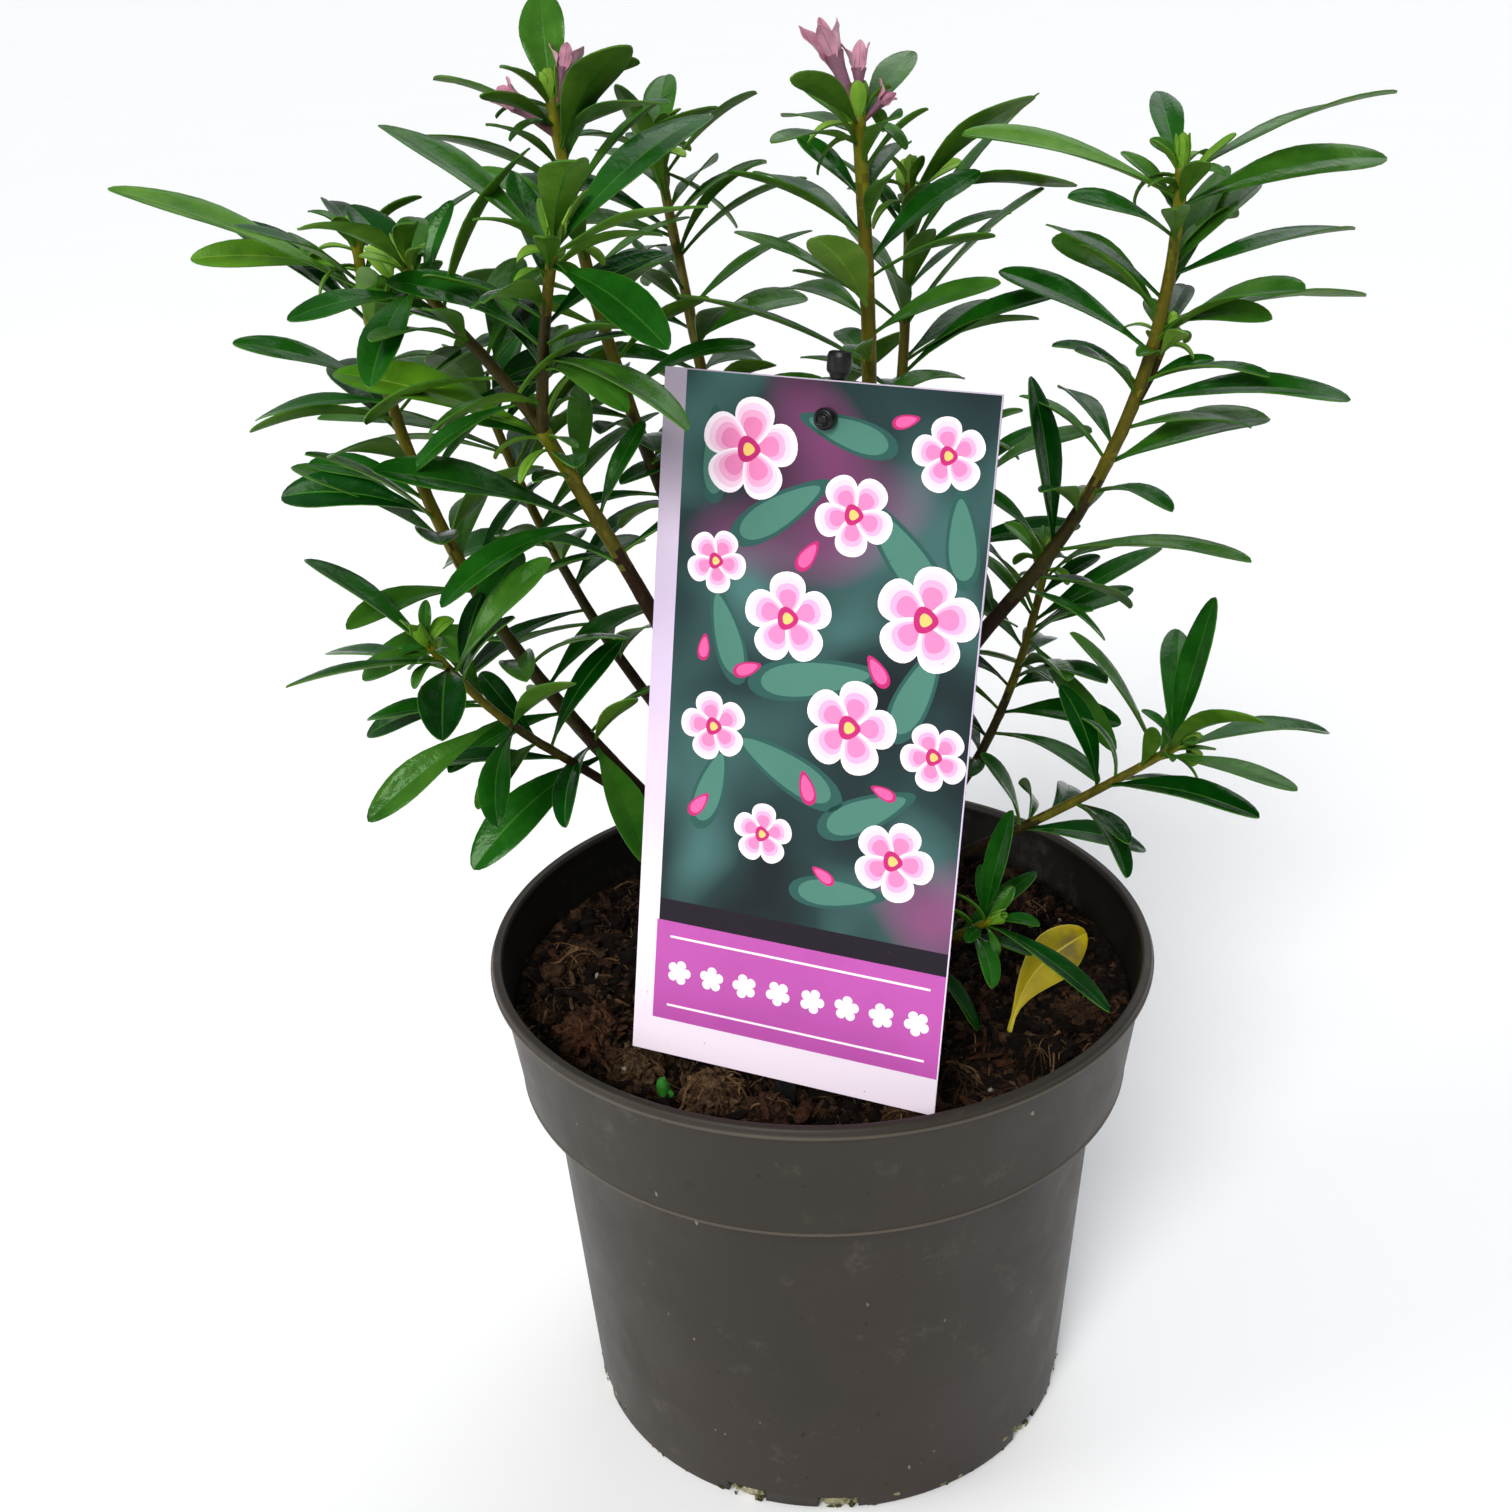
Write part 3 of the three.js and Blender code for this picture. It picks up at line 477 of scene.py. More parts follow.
def rounded(profile, radius, steps=3):
    """The profile with each inner corner eased by an arc-like curve of about this radius."""
    out = [profile[0]]
    for before, corner, after in zip(profile, profile[1:], profile[2:]):
        a, b, c = Vector(before), Vector(corner), Vector(after)
        cut = min(radius, (a - b).length * 0.45, (c - b).length * 0.45)
        start, end = b + (a - b).normalized() * cut, b + (c - b).normalized() * cut
        for i in range(steps + 1):
            t = i / steps
            out.append(tuple(start * (1 - t) ** 2 + b * 2 * t * (1 - t) + end * t ** 2))
    out.append(profile[-1])
    return out


# ---- the growth rule
class Dice:
    """The same portable random numbers as the part's source draws."""

    def __init__(self, seed):
        self.state = seed

    def __call__(self, low, high):
        self.state = (self.state * 1664525 + 1013904223) % 4294967296
        return low + (high - low) * self.state / 4294967296


def along(values, u):
    """The value at u, 0 to 1, of something known at the foot, the middle and the tip."""
    foot, middle, tip = values
    return foot + (middle - foot) * 2 * u if u < 0.5 else middle + (tip - middle) * (2 * u - 1)


def heading(azimuth, rise):
    return Vector(polar(math.cos(rad(rise)), rad(azimuth), math.sin(rad(rise))))


class Course:
    """A limb's line: spot(u) is a point on it and way(u) its direction there."""

    def __init__(self, start, turn, rise, length):
        self.turn, self.rise, self.length = turn, rise, length
        self.steps = math.ceil(length / STEP)
        self.points = [Vector(start)]
        for i in range(self.steps):
            step = self.way((i + 0.5) / self.steps) * (length / self.steps)
            self.points.append(self.points[-1] + step)

    def spot(self, u):
        place = min(max(u, 0), 1) * self.steps
        i = min(math.floor(place), self.steps - 1)
        return self.points[i].lerp(self.points[i + 1], place - i)

    def way(self, u):
        return heading(along(self.turn, u), along(self.rise, u))


def across(way):
    """Two directions across a limb that runs towards way."""
    east = Vector((0, 1, 0)).cross(way).normalized()
    return east, way.cross(east)


def leaf_size(i, count):
    """The size of the leaf that is i-th from the tip, against a full one."""
    return min(1, 0.3 + 0.18 * i) * (1 - 0.25 * i / count)


def reach_leaves(line, rows, roll):
    for u, azimuth, rise, length, *own in rows:
        arch = roll(*REACH_ARCH)
        width = length * LEAF["slim"] * roll(0.95, 1.1) + LEAF["extra_width"]
        width *= own[0] if own else 1
        yield {"foot": line.spot(u), "way": heading(azimuth, rise + arch / 2), "light": LIGHT,
               "length": length, "width": width, "arch": arch, "roll": roll(-18, 18),
               "age": 1 - u, "u": u, "tone": own[1] if len(own) > 1 else None}


def seeded_leaves(line, bare, spray, roll, count, offset=0.15):
    """Leaves in a spiral from the tip of a leafy stem down."""
    for i in range(count):
        u = 1 - (1 - bare) * ((i + offset) / count) ** CROWDING * 0.97
        around = rad(spray["phase"] + GOLDEN * i + roll(-9, 9))
        spread = OPEN["upper"] + (OPEN["lower"] - OPEN["upper"]) * (i / count) ** OPEN["power"]
        if i < TOP_LEAVES:
            opened = rad(OPEN["top"] - OPEN["top_step"] * i)
        else:
            opened = rad(spread + roll(-8, 8))
        stem = line.way(u)
        way = between(between(*across(stem), around), stem, opened) + UP * LIFT
        length = LEAF["length"] * spray["size"] * leaf_size(i, count) * roll(0.88, 1.12)
        width = length * LEAF["slim"] * roll(0.92, 1.15) + LEAF["extra_width"]
        arch = HANG["upper"] + (HANG["lower"] - HANG["upper"]) * i / count + roll(-8, 12)
        yield {"foot": line.spot(u), "way": way.normalized(),
               "light": (stem + LIGHT).normalized(), "length": length, "width": width,
               "arch": arch, "roll": roll(-22, 22), "age": i / count, "u": u,
               "top": i < TOP_LEAVES}


def tip_leaves(line, look, size):
    """Small leaves that curl back from round the bud."""
    stem = line.way(1)
    for i in range(5):
        around, opened, below = rad(GOLDEN * i + 40), rad(look(25, 55)), 1 + 1.3 * i
        yield {"foot": line.spot(1) - stem * below,
               "way": between(between(*across(stem), around), stem, opened),
               "light": (stem + LIGHT).normalized(), "length": size * look(10, 17),
               "width": size * look(3.4, 4.8), "arch": look(70, 130), "roll": 0, "age": 0,
               "u": 1 - below / line.length}


def axes(leaf):
    """The leaf's directions at its foot: to the side, and out of its upper face."""
    side = leaf["way"].cross(leaf["light"]).normalized()
    above = side.cross(leaf["way"])
    turn = Matrix.Rotation(rad(leaf["roll"]), 3, leaf["way"])
    return turn @ side, turn @ above


def centre_line(leaf, above, s):
    """The point of the arched midrib at s, and the direction out of the upper face there."""
    bend = rad(leaf["arch"]) * s
    small = abs(bend) < 1e-6
    straight = 1 if small else math.sin(bend) / bend
    drop = 0 if small else (1 - math.cos(bend)) / bend
    reach = leaf["length"] * s
    spot = leaf["foot"] + leaf["way"] * (reach * straight) - above * (reach * drop)
    return spot, between(above, leaf["way"], bend)


def leaf_tip(leaf):
    return centre_line(leaf, axes(leaf)[1], 1)[0]


def turned(leaf, degrees):
    return {**leaf, "way": Matrix.Rotation(rad(degrees), 3, "Z") @ leaf["way"]}


# ---- leaves
STATIONS = (0, 0.05, 0.12, 0.2, 0.3, 0.4, 0.5, 0.6, 0.68, 0.76, 0.84, 0.9, 0.95, 0.985, 1)
ACROSS = (-1, -0.965, -0.5, -0.045, 0.045, 0.5, 0.965, 1)
YOUNG, RIB, EDGE, UNDER, UNDER_YOUNG = 3, 4, 5, 6, 7    # the material slots that follow the greens
FULLER = 0.97                               # breadth of the blades against the faceted ones


def leaf_outline(s, root=0.1):
    """Half the width at s as a share of the widest: long narrow foot, broad end, blunt tip."""
    full = max(math.sin(math.pi * min(s, 0.9999) ** 1.62), 0) ** (0.88 - 0.32 * s)
    return max(root * (1 - 0.5 * s), full) if s < 0.9 else full


def add_blade(heap, leaf, skins, fold, thick=0.42, turn=0.0, twist=0.0, wave=0.0,
              outline=leaf_outline, fuller=FULLER):
    """A leathery blade, folded a little along its midrib. skins: slots of face, rib, edge and
    underside.  turn and twist: degrees about the midrib, of it all and more towards its tip."""
    side, above = axes(leaf)
    rings = []
    for s in STATIONS:
        spot, up = centre_line(leaf, above, s)
        spin = Matrix.Rotation(rad(turn + twist * s), 3, side.cross(up))
        wide, high = spin @ side, spin @ up
        half = fuller * leaf["width"] / 2 * outline(s)

        def lift(t):
            ripple = wave * half * abs(t) * math.sin(9 * s + 2.5 * t)
            return fold * half * (abs(t) ** 1.2 - 0.35 * t ** 6) + ripple

        face = [spot + wide * (t * half) + high * (lift(t) - (0.12 if abs(t) < 0.1 else 0))
                for t in ACROSS]
        for t in reversed(ACROSS):
            keel = thick * (1.9 - 1.1 * s if abs(t) < 0.1 else (0.55 if abs(t) > 0.99 else 1))
            face.append(spot + wide * (t * half * 0.995) + high * (lift(t) - keel))
        rings.append(face[::-1])
    face, rib, edge, under = skins
    strips = [edge, face, face, rib, face, face, edge, edge,
              under, under, under, rib, under, under, under, edge]
    heap.skin(rings, lambda i, j: strips[14 - j])


def coarse(leaf):
    """A few triangles with the blade's outline, to test whether it would touch something."""
    side, above = axes(leaf)
    points = []
    for s in (0.25, 0.55, 0.8, 0.98):
        spot = centre_line(leaf, above, s)[0]
        half = leaf["width"] / 2 * leaf_outline(s) * FULLER
        points += [spot - side * half, spot + side * half]
    faces = [(0, 1, 3), (0, 3, 2), (2, 3, 5), (2, 5, 4), (4, 5, 7), (4, 7, 6)]
    return points, faces


def corners_of(points):
    return [[pick(p[k] for p in points) for k in range(3)] for pick in (min, max)]


class Space:
    """What is already placed, to keep a new leaf clear of it."""

    def __init__(self):
        self.trees = []

    def add(self, owner, points, faces):
        self.trees.append((owner, *corners_of(points), BVHTree.FromPolygons(points, faces)))

    def add_node(self, name):
        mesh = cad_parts[name].data
        self.add(name, [v.co / MM for v in mesh.vertices],
                 [tuple(p.vertices) for p in mesh.polygons])

    def free(self, owner, points, faces):
        low, high = corners_of(points)
        tree = None
        for other, other_low, other_high, other_tree in self.trees:
            apart = any(low[k] > other_high[k] or other_low[k] > high[k] for k in range(3))
            if other == owner or apart:
                continue
            tree = tree or BVHTree.FromPolygons(points, faces)
            if tree.overlap(other_tree):
                return False
        return True


def within(point, box, margin):
    """True where the point, in millimetres, lies this far inside the box, in metres."""
    low, high = box
    return all(low[k] / MM + margin < point[k] < high[k] / MM - margin for k in range(3))


# ---- stems
SLIM = 0.84                                 # a stem's round bark lies within the faceted solid
PATCHY = 0.05                               # share of a stem over which one bark becomes the next
SCAR_REACH, SCAR_HEIGHT = 3.2, 1.1          # how far a scar's swelling goes, and its half height


def stem_radius(thick, u):
    return SLIM * (thick[0] + (thick[1] - thick[0]) * u)


def add_stem(heap, line, start, end, radius, slot, sides=14, spacing=2.2, relief=0.12, scars=(),
             tip=0):
    """A round limb with bark relief and a raised scar under each of the (u, angle) places."""
    steps = max(2, round((end - start) * line.length / spacing))
    rings = []
    for i in range(steps + 1):
        u = start + (end - start) * i / steps
        spot, (east, north), r = line.spot(u), across(line.way(u)), radius(u)
        ring = []
        for angle in circle(sides):
            out = between(east, north, angle)
            bark = noise.noise((spot + out * r) * 0.35) + 0.5 * noise.noise((spot + out * r) * 1.1)
            swell = 0
            for at, towards in scars:
                rise, turn = (u - at) * line.length, math.cos(angle - towards)
                if abs(rise) < SCAR_REACH and turn > 0:
                    swell += turn ** 6 * math.exp(-(rise / SCAR_HEIGHT) ** 2)
            proud = min(0.1 * r + 0.05, 0.24) * min(swell, 1)
            ring.append(spot + out * (r * (1 + relief * 0.5 * bark) + proud))
        rings.append(ring)
    if tip:
        top = line.spot(end)
        rings.append([top + line.way(end) * tip + (p - top) * 0.25 for p in rings[-1]])

    def patch(i, j):
        ragged = PATCHY * noise.noise((i * 0.6, j * 0.8, radius(end)))
        return slot(start + (end - start) * min(i / steps, 1) + ragged)

    heap.skin(rings, patch)


def spiral(start, end, spacing, line, phase):
    """(u, angle) places of old leaves, in a spiral."""
    count = max(1, int((end - start) * line.length / spacing))
    return [(start + (end - start) * (i + 0.5) / count, rad(phase + GOLDEN * i))
            for i in range(count)]


lines = {"trunk": Course((0, 0, SOIL_LEVEL), TRUNK["turn"], TRUNK["rise"], TRUNK["length"])}
for entry in SHOOTS:
    lines[entry["name"]] = Course(lines[entry["on"]].spot(entry["at"]), entry["turn"],
                                  entry["rise"], entry["length"])

# ---- buds and flowers
BUD = {"length": 8, "sink": 1.5}
FLOWER = {"tube": 13, "lobe": 8.6, "spread": 6.2}
BUD_CORE = ((0, 0.75), (0.25, 1.2), (0.5, 1.25), (0.75, 0.85), (0.93, 0.35), (1, 0.05))
FLOWER_TUBE = ((0, 0.9), (0.2, 1.0), (0.5, 1.1), (0.75, 1.3), (0.9, 1.7), (1, 2.1), (0.97, 1.7),
               (0.8, 0.9))                  # how far along, and radius


def add_bud(heap, tip, way, size, look):
    """A leaf bud: overlapping scales that close over a pointed core."""
    east, north = across(way)
    rings = []
    for s, r in BUD_CORE:
        centre = tip + way * (size * (BUD["length"] * 0.82 * s - BUD["sink"]))
        rings.append([centre + between(east, north, a) * (r * size) for a in circle(8)])
    heap.skin(rings, YOUNG)
    for i in range(8):
        out, opened = between(east, north, rad(GOLDEN * i)), rad(look(64, 80))
        length = size * (8.6 - 0.45 * i) * look(0.9, 1.1)
        scale = {"foot": tip + way * (size * (0.35 * i - 2)) + out * (0.7 * size),
                 "way": between(out, way, opened), "light": -out, "length": length,
                 "width": length * 0.42, "arch": -look(18, 40), "roll": 0}
        add_blade(heap, scale, (YOUNG, YOUNG, EDGE, YOUNG), 0.35, thick=0.3)


def petal_outline(s):
    round_end = max(math.sin(math.pi * min(s, 0.9995) ** 1.15), 0) ** 0.62
    return round_end * (1 - 0.1 * s) + 0.25 * (1 - s) ** 3


def add_flower(heap, line, flower, look):
    """A faded flower: a slim tube whose mouth opens into four lobes, some of them withered."""
    at, azimuth, lean, size = flower
    foot, way = line.spot(at), heading(azimuth, 90 - lean)
    first, second = across(way)
    rings = []
    for s, r in FLOWER_TUBE:
        centre = foot + way * (size * FLOWER["tube"] * s)
        rings.append([centre + between(first, second, a)
                      * (r * size * (1 + 0.12 * math.cos(4 * a) * s)) for a in circle(12)])
    heap.skin(rings, lambda i, j: 2 if i < 2 else 1)
    for lobe in range(4):
        out = between(first, second, rad(90 * lobe + look(-10, 10)))
        opened, narrow = rad(look(4, 22)), lobe % 2
        broad = look(0.35, 0.8) if narrow else look(0.85, 1.15)
        petal = {"foot": foot + way * (size * FLOWER["tube"] * 0.93) + out * (1.5 * size),
                 "way": between(way, out, opened), "light": -out,
                 "length": size * FLOWER["lobe"] * look(0.8, 1.05),
                 "width": size * FLOWER["spread"] * broad,
                 "arch": look(-25, 40), "roll": look(-15, 15)}
        add_blade(heap, petal, (0, 1, 0, 0 if narrow else 3), 0.3, thick=0.16, wave=0.2,
                  outline=petal_outline, fuller=1)


# ---- growing the plant
SIDES = {"left": ("left_front", "left_side", "left_low"),
         "middle": ("rear_left", "rear_inner", "back_left", "back", "front")}
MORE = {"left": 0.45, "middle": 0.6, "right": 0.7}     # finer leaves for each one in the solids
LEVELLED, MOST_LEVELLED = 0.7, 40           # how far a blade turns about its midrib to lie level
SMALLEST = 19                               # shorter leaves are not in the solids
SAME_TIP = 0.4                              # a leaf's tip is this near a corner of its solid
SHORTENED = (1, 0.85, 0.7, 0.55)            # sizes that a leaf tries where it has no room


def side_of(name):
    return next((side for side, names in SIDES.items() if name in names), "right")


def tone_of(leaf, look):
    """The leaf's slot among the tones: 0 deep, 1 full, 2 bright, 3 young."""
    high = (leaf["foot"].z - SOIL_LEVEL) / 250
    # Higher leaves draw brighter tones and lower leaves darker ones: painted light from above.
    draw = look(0, 1) - 0.9 * max(0, 0.22 - leaf["age"]) + 0.6 * (0.48 - high)
    if leaf["length"] < SMALLEST:
        return YOUNG if draw < 0.12 else (2 if draw < 0.6 else 1)
    return 2 if draw < 0.24 else (1 if draw < 0.66 else 0)


def put_leaf(heap, leaf, look):
    drawn = tone_of(leaf, look)
    tone = leaf.get("tone") or drawn
    side, above = axes(leaf)
    level = math.degrees(math.atan2(-side.z, above.z)) if above.z > 0 else 0
    level = max(-MOST_LEVELLED, min(MOST_LEVELLED, level))
    skins = (tone, YOUNG if tone == SUNLIT else RIB, EDGE,
             UNDER_YOUNG if tone in (YOUNG, SUNLIT) else UNDER)
    add_blade(heap, leaf, skins, look(0.12, 0.5), turn=LEVELLED * level + look(-24, 24),
              twist=look(-30, 30), wave=look(0, 0.09), fuller=FULLER * look(0.86, 1.12))


def as_solid(leaf, corners):
    """The leaf turned as it stands in the mass's solid, or None where that has left it out."""
    for degrees in TURNS:
        made = turned(leaf, degrees)
        if corners.find(leaf_tip(made))[2] < SAME_TIP:
            return made
    return None


def node_corners(name):
    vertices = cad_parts[name].data.vertices
    tree = KDTree(len(vertices))
    for i, vertex in enumerate(vertices):
        tree.insert(vertex.co / MM, i)
    tree.balance()
    return tree


def place_free(space, owner, leaf):
    """The leaf turned and shortened until it touches nothing and stays within its mass."""
    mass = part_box("foliage_" + owner)
    for share in SHORTENED:
        for degrees in TURNS:
            made = turned({**leaf, "length": leaf["length"] * share,
                           "width": leaf["width"] * share ** 0.5}, degrees)
            tip = leaf_tip(made)
            if not (within(tip, mass, -2.0) and within(tip, cad_box, 1.5)):
                continue
            shape = coarse(made)
            if space.free(owner, *shape):
                space.add(owner + "_finer", *shape)
                return made
    return None


def knot(stem, leaf, made):
    """Where a leaf's foot swells its stem: how far along, and at what angle."""
    east, north = across(stem.way(leaf["u"]))
    return leaf["u"], math.atan2(made["way"].dot(north), made["way"].dot(east))


def grow():
    heaps = {name: Heap() for name in ("limbs", "stems", *MORE, "buds", "blossom")}
    space = Space()
    for name in ("card", "card_stake", "card_pin", "pot", "soil", "fallen_leaf", "trunk"):
        space.add_node(name)
    limbs = heaps["limbs"]
    add_stem(limbs, lines["trunk"], -0.02, 1.0,
             lambda u: TRUNK["top"] + (TRUNK["foot"] - TRUNK["top"]) * (1 - u) ** 3,
             lambda u: 0, sides=28, spacing=1.2, relief=0.3, tip=1.5)
    todo = []
    for index, entry in enumerate(SHOOTS):
        name, line, bare, thick = entry["name"], lines[entry["name"]], entry["bare"], entry["thick"]
        look, roll = Dice(SEED + 500 + index), Dice(SEED + index)
        space.add_node("bough_" + name)
        add_stem(limbs, line, 0, bare + 0.01, lambda u: stem_radius(thick, u),
                 lambda u: 0 if u < 0.5 * bare else 1,
                 scars=spiral(0.04, bare, 6.5, line, entry["phase"]))
        corners = node_corners("foliage_" + name)
        sprays = [(line, bare, entry, thick)]
        for grown in entry["twigs"]:
            stem = Course(line.spot(grown["at"]), grown["turn"], grown["rise"], grown["length"])
            sprays.append((stem, TWIG_BARE, grown, tuple(share * thick[1] for share in TWIG_THICK)))
        for stem, start, spray, size in sprays:
            leaves = list(reach_leaves(stem, spray["reach"], roll))
            leaves += seeded_leaves(stem, start, spray, roll, spray["leaves"])
            knots = []
            for leaf in leaves:
                big = leaf["length"] >= SMALLEST
                made = as_solid(leaf, corners) if big else leaf
                if made is None:
                    continue
                if leaf.get("top"):
                    made = {**made, "arch": made["arch"] + look(10, 45)}
                put_leaf(heaps[side_of(name)], made, look)
                knots.append(knot(stem, leaf, made))
                if big:
                    space.add(name, *coarse(made))
            todo.append((name, stem, start, spray, size, look, knots))
        carried_on = entry["twigs"] and entry["twigs"][0]["at"] == 1    # by a twig at its tip
        for stem, _, _, size in sprays[1 if carried_on else 0:]:
            add_bud(heaps["buds"], stem.spot(1), stem.way(1), 0.3 + 0.5 * size[1], look)
        for flower in entry["flowers"]:
            add_flower(heaps["blossom"], line, flower, look)
    for name, stem, start, spray, size, look, knots in todo:
        side = side_of(name)
        count = round((spray["leaves"] + len(spray["reach"])) * MORE[side])
        finer = {**spray, "phase": spray["phase"] + GOLDEN / 2, "size": spray["size"] * 0.92}
        more = list(seeded_leaves(stem, start, finer, look, count, 0.7))
        for leaf in [*tip_leaves(stem, look, 0.7 + 0.2 * size[1]), *more]:
            made = place_free(space, name, leaf)
            if made and made["length"] > 6:
                put_leaf(heaps[side], made, look)
                knots.append(knot(stem, leaf, made))

        def bark(u):
            return 0 if 0.2 < u < start + 0.06 else (1 if u < 0.64 else (2 if u < 0.91 else 3))

        add_stem(heaps["stems"], stem, start - 0.01 if start > TWIG_BARE else 0, 1,
                 lambda u: stem_radius(size, u), bark, sides=12, scars=knots, relief=0.1, tip=1.2)
    return heaps


def make_plant():
    heaps = grow()
    old, *greens = [bark_paint(*row) for row in (
        ("bark_old", (32, 17, 6), (52, 34, 16)), ("bark_brown", (38, 23, 7), (58, 40, 16)),
        ("stem_brown", (48, 42, 6), (72, 66, 14), 0.42),
        ("stem_amber", (84, 78, 8), (112, 104, 20), 0.38),
        ("stem_green", (100, 101, 12), (130, 126, 28), 0.36))]
    tones = [leaf_paint(*row) for row in (
        ("leaf_deep", (0, 35, 2), (6, 60, 9)), ("leaf_full", (8, 58, 5), (28, 88, 18)),
        ("leaf_bright", (30, 78, 12), (60, 106, 30)),
        ("leaf_young", (84, 132, 26), (132, 170, 62), 0.36),
        ("leaf_rib", (28, 80, 16), (56, 108, 32), 0.34),
        ("leaf_edge", (36, 86, 18), (70, 116, 36), 0.34),
        ("leaf_under", (44, 86, 10), (82, 120, 32), 0.5, 0.12),
        ("leaf_under_young", (76, 118, 28), (112, 148, 52), 0.5, 0.12),
        ("leaf_sunlit", (56, 108, 8), (92, 142, 30), 0.3))]
    petals = [leaf_paint("petal_" + name, dark, light, 0.6, 0.15) for name, dark, light in (
        ("pink", (172, 108, 132), (204, 148, 168)), ("mauve", (108, 72, 90), (150, 106, 126)),
        ("foot", (104, 70, 74), (134, 98, 96)), ("inside", (190, 132, 152), (218, 172, 188)))]
    boughs = ["bough_" + entry["name"] for entry in SHOOTS]
    heaps["limbs"].piece("limbs", [old, greens[0]], "bark", ["trunk", *boughs], 60)
    heaps["stems"].piece("leafy_stems", greens, "bark", sharp=60)
    for side in MORE:
        masses = ["foliage_" + e["name"] for e in SHOOTS if side_of(e["name"]) == side]
        heaps[side].piece("leaves_" + side, tones, "foliage", masses)
    heaps["buds"].piece("buds", tones, "foliage")
    heaps["blossom"].piece("blossom", petals, "foliage")


# ---- pot
EDGE_CURVE = 0.8                            # radius of the foot's edge


def make_pot():
    height, rim, base, wall = POT["height"], POT["rim"], POT["base"], POT["wall"]
    collar, top, lip = POT["collar_foot"], POT["wall_top"], height - POT["lip_height"]
    slope = (top - base) / (COLLAR_FOOT - EDGE_CURVE)
    inner_lip = (rim - 3.5, height - 1.2)
    profile = [(0.01, 0), (PAD_RADIUS, 0), (PAD_RADIUS + ARCH, ARCH),
               (base - FOOT_WIDTH - ARCH, ARCH), (base - FOOT_WIDTH, 0), (base - EDGE_CURVE, 0),
               (base, EDGE_CURVE),
               *((base + slope * (z - EDGE_CURVE), z) for z in (5.5, 8, 30, 70)),
               (top, COLLAR_FOOT), (collar - 0.5, COLLAR_FOOT + 0.3), (collar, COLLAR_FOOT + 0.5),
               (collar, COLLAR_FOOT + 1.1), (collar - 0.2, COLLAR_FOOT + 1.6),
               (rim - POT["lip"] - 0.1, lip - 1.4), (rim - 1.1, lip - 0.6), (rim, lip - 0.1),
               (rim, lip + 0.5), (rim - 0.45, lip + 1.1), (rim - 0.55, height - 0.7),
               (rim - 1.1, height), (rim - 3, height), inner_lip,
               (rim - POT["lip"] - wall, height - 4), (collar - wall, COLLAR_FOOT + wall + 1),
               (top - wall, COLLAR_FOOT + wall), (base - wall, POT["floor"]),
               (0.01, POT["floor"])]
    rings = lathe(rounded(profile, 0.4), 200)
    # The collar's foot bead and the rim's outer edge get a paler plastic: painted highlight lines.
    worn = [i for i, ring in enumerate(rings)
            if abs(ring[0][0] - collar) < 0.12 and ring[0][2] < COLLAR_FOOT + 1.3
            or abs(ring[0][0] - rim) < 0.1]
    # The rings inside the lip get a much darker plastic: painted shade on the inner wall.
    inside = 4 * profile.index(inner_lip)
    heap = Heap()
    heap.skin(rings, lambda i, j: 1 if i in worn else (2 if i >= inside else 0))
    # The second paint is a painted highlight (2.6 times paler) and the third is painted shade (0.3
    # times as light).
    paints = [pot_paint("pot_plastic", 1), pot_paint("pot_edge_painted_highlight", 2.6),
              pot_paint("pot_inner_painted_shade", 0.3)]
    pot = heap.piece("pot_shell", paints, "pot_plastic", ["pot"], 35)
    near, far = base - FOOT_WIDTH, base + FOOT_WIDTH
    pair = (-NOTCH["apart"], NOTCH["apart"])
    for turns, width, tall in (((0,), NOTCH["relief"], NOTCH["relief_height"]),
                               (pair, NOTCH["width"], NOTCH["height"])):
        square = [(near, -width / 2), (far, -width / 2), (far, width / 2), (near, width / 2)]
        cuts = Heap()
        for i in range(NOTCH["pairs"] * len(turns)):
            turn = turns[i % len(turns)] + i // len(turns) * 360 / NOTCH["pairs"]
            spin = Matrix.Rotation(rad(NOTCH["first"] + turn), 3, "Z")
            cuts.skin([[spin @ Vector((x, y, z)) for x, y in square] for z in (-tall, tall)])
        cut_away(pot, cuts)


def uniforms(draw, *ranges):
    return [draw.uniform(*each) for each in ranges]


def mostly(draw, share, usual, rare):
    """A number from the usual range in this share of draws, and otherwise from the rare one."""
    return draw.uniform(*(usual if draw.random() < share else rare))


def add_chunk(heap, place, size, spin, draw, slot, rings=5, sides=7, rough=0.22, grain=0.0):
    """An irregular lump or splinter: a rounded form with these three half lengths, broken up."""
    turn = Euler(spin).to_matrix()
    seed = draw.uniform(0, 90)
    shells = []
    for i in range(rings):
        s = max(-0.97, min(0.97, -1 + 2 * i / (rings - 1)))
        wide = (1 - abs(s) ** 2.6) ** 0.5
        ring = []
        for a in circle(sides):
            p = Vector((s, wide * math.cos(a), wide * math.sin(a)))
            p *= 1 + rough * noise.noise(p * 2.1 + Vector((seed, 0, 0))) * 2
            pits = noise.noise(p * 5.5 + Vector((seed, 5, 0))) + 0.6 * noise.noise(p * 14)
            p *= 1 + grain * pits * 1.6
            ring.append(place + turn @ Vector([p[k] * size[k] for k in range(3)]))
        shells.append(ring)
    heap.skin(shells, slot)


